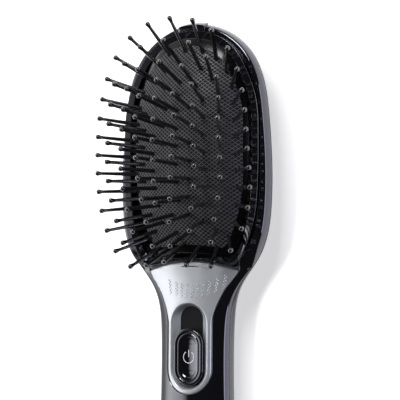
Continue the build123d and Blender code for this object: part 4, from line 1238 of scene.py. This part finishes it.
# Where the studio's lamps aim and how the floor lies, in metres
LAMP_AIM = (0, 0, 0.02)
FLOOR_HALF_SIZE = 3.0
FLOOR_GAP = 0.0001
# Strength of the paper's glow for the camera and in the gloss, where 1 is white
CAMERA_GLOW = 0.55
GLOSS_GLOW = 0.2


def matt_white_paper():
    """Matt white paper: plain white to the camera and pale in the gloss, with a soft shadow on it."""
    material, tree, shader, place = new_finish("matt_white_paper", {"Roughness": 0.9})
    vary(tree, shader, place, 1.25, "f2f2f2", "f8f8f8")
    path = node(tree, "ShaderNodeLightPath").outputs
    inputs = {0: path["Is Camera Ray"], 1: CAMERA_GLOW}
    seen = node(tree, "ShaderNodeMath", inputs, operation="MULTIPLY").outputs[0]
    inputs = {0: path["Is Glossy Ray"], 1: GLOSS_GLOW, 2: seen}
    glow = node(tree, "ShaderNodeMath", inputs, operation="MULTIPLY_ADD").outputs[0]
    shader.inputs["Emission Color"].default_value = (1, 1, 1, 1)
    tree.links.new(glow, shader.inputs["Emission Strength"])
    return material


def add_lamp(name, size, place, power, colour="ffffff"):
    """Rectangular soft box that faces the brush."""
    lamp = bpy.data.lights.new(name, "AREA")
    lamp.shape = "RECTANGLE"
    lamp.size, lamp.size_y = size
    lamp.energy = power
    lamp.color = linear(colour)[:3]
    rig = bpy.data.objects.new(name, lamp)
    rig.location = place
    rig.rotation_euler = (Vector(LAMP_AIM) - Vector(place)).to_track_quat("-Z", "Y").to_euler()
    bpy.context.scene.collection.objects.link(rig)
    return rig


class BRUSH_OT_stage(bpy.types.Operator):
    """Pale floor, soft studio light and the camera at the photograph's angle"""

    bl_idname = "brush.stage"
    bl_label = "Stage"

    def execute(self, context):
        self.add_floor()
        self.add_world()
        add_lamp("soft_box_top", (0.7, 0.4), (0.0, 0.95, 1.15), 12.0)
        add_lamp("soft_box_right", (1.3, 0.6), (1.5, 0.1, 0.36), 8.0, "e2e5ff")
        # The overhead light is kept out of the gloss, as a polariser does in a studio
        overhead = add_lamp("soft_box_overhead", (0.5, 0.5), (-0.75, 0.1, 1.7), 23.0)
        overhead.visible_glossy = False
        self.add_camera(context)
        return {"FINISHED"}

    def add_floor(self):
        """Sheet of paper just under the resting face."""
        bm = bmesh.new()
        bmesh.ops.create_grid(bm, x_segments=1, y_segments=1, size=FLOOR_HALF_SIZE)
        bmesh.ops.translate(bm, verts=bm.verts, vec=(0, 0, -FLOOR_GAP))
        floor = add_object("floor", bm)
        floor.data.materials.append(matt_white_paper())

    def add_world(self):
        """White to the camera; for light and gloss, bright at the horizon and dark overhead."""
        world = bpy.data.worlds.new("studio")
        bpy.context.scene.world = world
        world.use_nodes = True
        tree = world.node_tree
        tree.nodes.clear()
        way = node(tree, "ShaderNodeTexCoord").outputs["Generated"]
        levels = []
        for aim, low, high, at_low, at_high in (
            # Height above the horizon, tilted so that the left stays bright further up than the right
            ((0.35, -0.15, 1.0), 0.0, 0.5, 0.6, 0.03),
            # Large soft panel low on the left, brightest at its middle
            ((-0.81, -0.03, 0.59), 0.91, 0.998, 0.0, 2.4),
        ):
            facing = node(tree, "ShaderNodeVectorMath", {0: way, 1: aim}, operation="DOT_PRODUCT")
            inputs = {0: facing.outputs["Value"], 1: low, 2: high, 3: at_low, 4: at_high}
            level = node(tree, "ShaderNodeMapRange", inputs, interpolation_type="SMOOTHSTEP")
            levels.append(level.outputs[0])
        light = node(tree, "ShaderNodeMath", {0: levels[0], 1: levels[1]}, operation="ADD").outputs[0]
        seen = node(tree, "ShaderNodeLightPath").outputs["Is Camera Ray"]
        strength = node(tree, "ShaderNodeMix", {0: seen, 2: light, 3: 1.0}).outputs[0]
        sky = node(tree, "ShaderNodeBackground", {"Color": (1, 1, 1, 1), "Strength": strength})
        node(tree, "ShaderNodeOutputWorld", {"Surface": sky.outputs[0]})

    def add_camera(self, context):
        """The photograph's camera, turned about the brush's own axes."""
        turns = ((CAMERA_TURN, "Y"), (CAMERA_TILT, "X"), (-CAMERA_ROLL, "Z"))
        turn, tilt, roll = (Matrix.Rotation(radians(angle), 3, axis) for angle, axis in turns)
        axes = turn @ tilt @ roll
        data = bpy.data.cameras.new("photo_camera")
        data.lens = CAMERA_LENS
        data.sensor_width = 36.0
        data.clip_end = 20.0
        camera = bpy.data.objects.new("photo_camera", data)
        place = axes @ Vector(CAMERA_PLACE) + Vector((0, 0, CAMERA_AIM_Z))
        camera.matrix_world = Matrix.Translation(place * MM) @ axes.to_4x4()
        context.scene.collection.objects.link(camera)
        context.scene.camera = camera


class BRUSH_PT_panel(bpy.types.Panel):
    """Lists the brush's sizes, colours and pieces."""

    bl_idname = "BRUSH_PT_panel"
    bl_label = "Ionic styling brush"
    bl_space_type = "VIEW_3D"
    bl_region_type = "UI"
    bl_category = "Brush"

    def draw(self, context):
        for group in (context.scene.brush_sizes, context.scene.brush_colours):
            for name in group.__annotations__:
                self.layout.prop(group, name)
        for operator in OPERATORS:
            self.layout.operator(operator.bl_idname)


OPERATORS = (
    BRUSH_OT_stage, BRUSH_OT_shells, BRUSH_OT_face_plate, BRUSH_OT_switch, BRUSH_OT_pad_frame,
    BRUSH_OT_cushion, BRUSH_OT_pins, BRUSH_OT_inner_parts,
)
CLASSES = (BrushSizes, BrushColours, *OPERATORS, BRUSH_PT_panel)


def register():
    for cls in CLASSES:
        bpy.utils.register_class(cls)
    bpy.types.Scene.brush_sizes = PointerProperty(type=BrushSizes)
    bpy.types.Scene.brush_colours = PointerProperty(type=BrushColours)


def unregister():
    del bpy.types.Scene.brush_colours
    del bpy.types.Scene.brush_sizes
    for cls in reversed(CLASSES):
        bpy.utils.unregister_class(cls)


def main():
    register()
    bpy.context.scene.view_settings.view_transform = "Standard"
    bpy.ops.brush.stage()
    bpy.ops.brush.shells()
    bpy.ops.brush.face_plate()
    bpy.ops.brush.switch()
    bpy.ops.brush.pad_frame()
    bpy.ops.brush.cushion()
    bpy.ops.brush.pins()
    bpy.ops.brush.inner_parts()


if __name__ == "__main__":
    main()
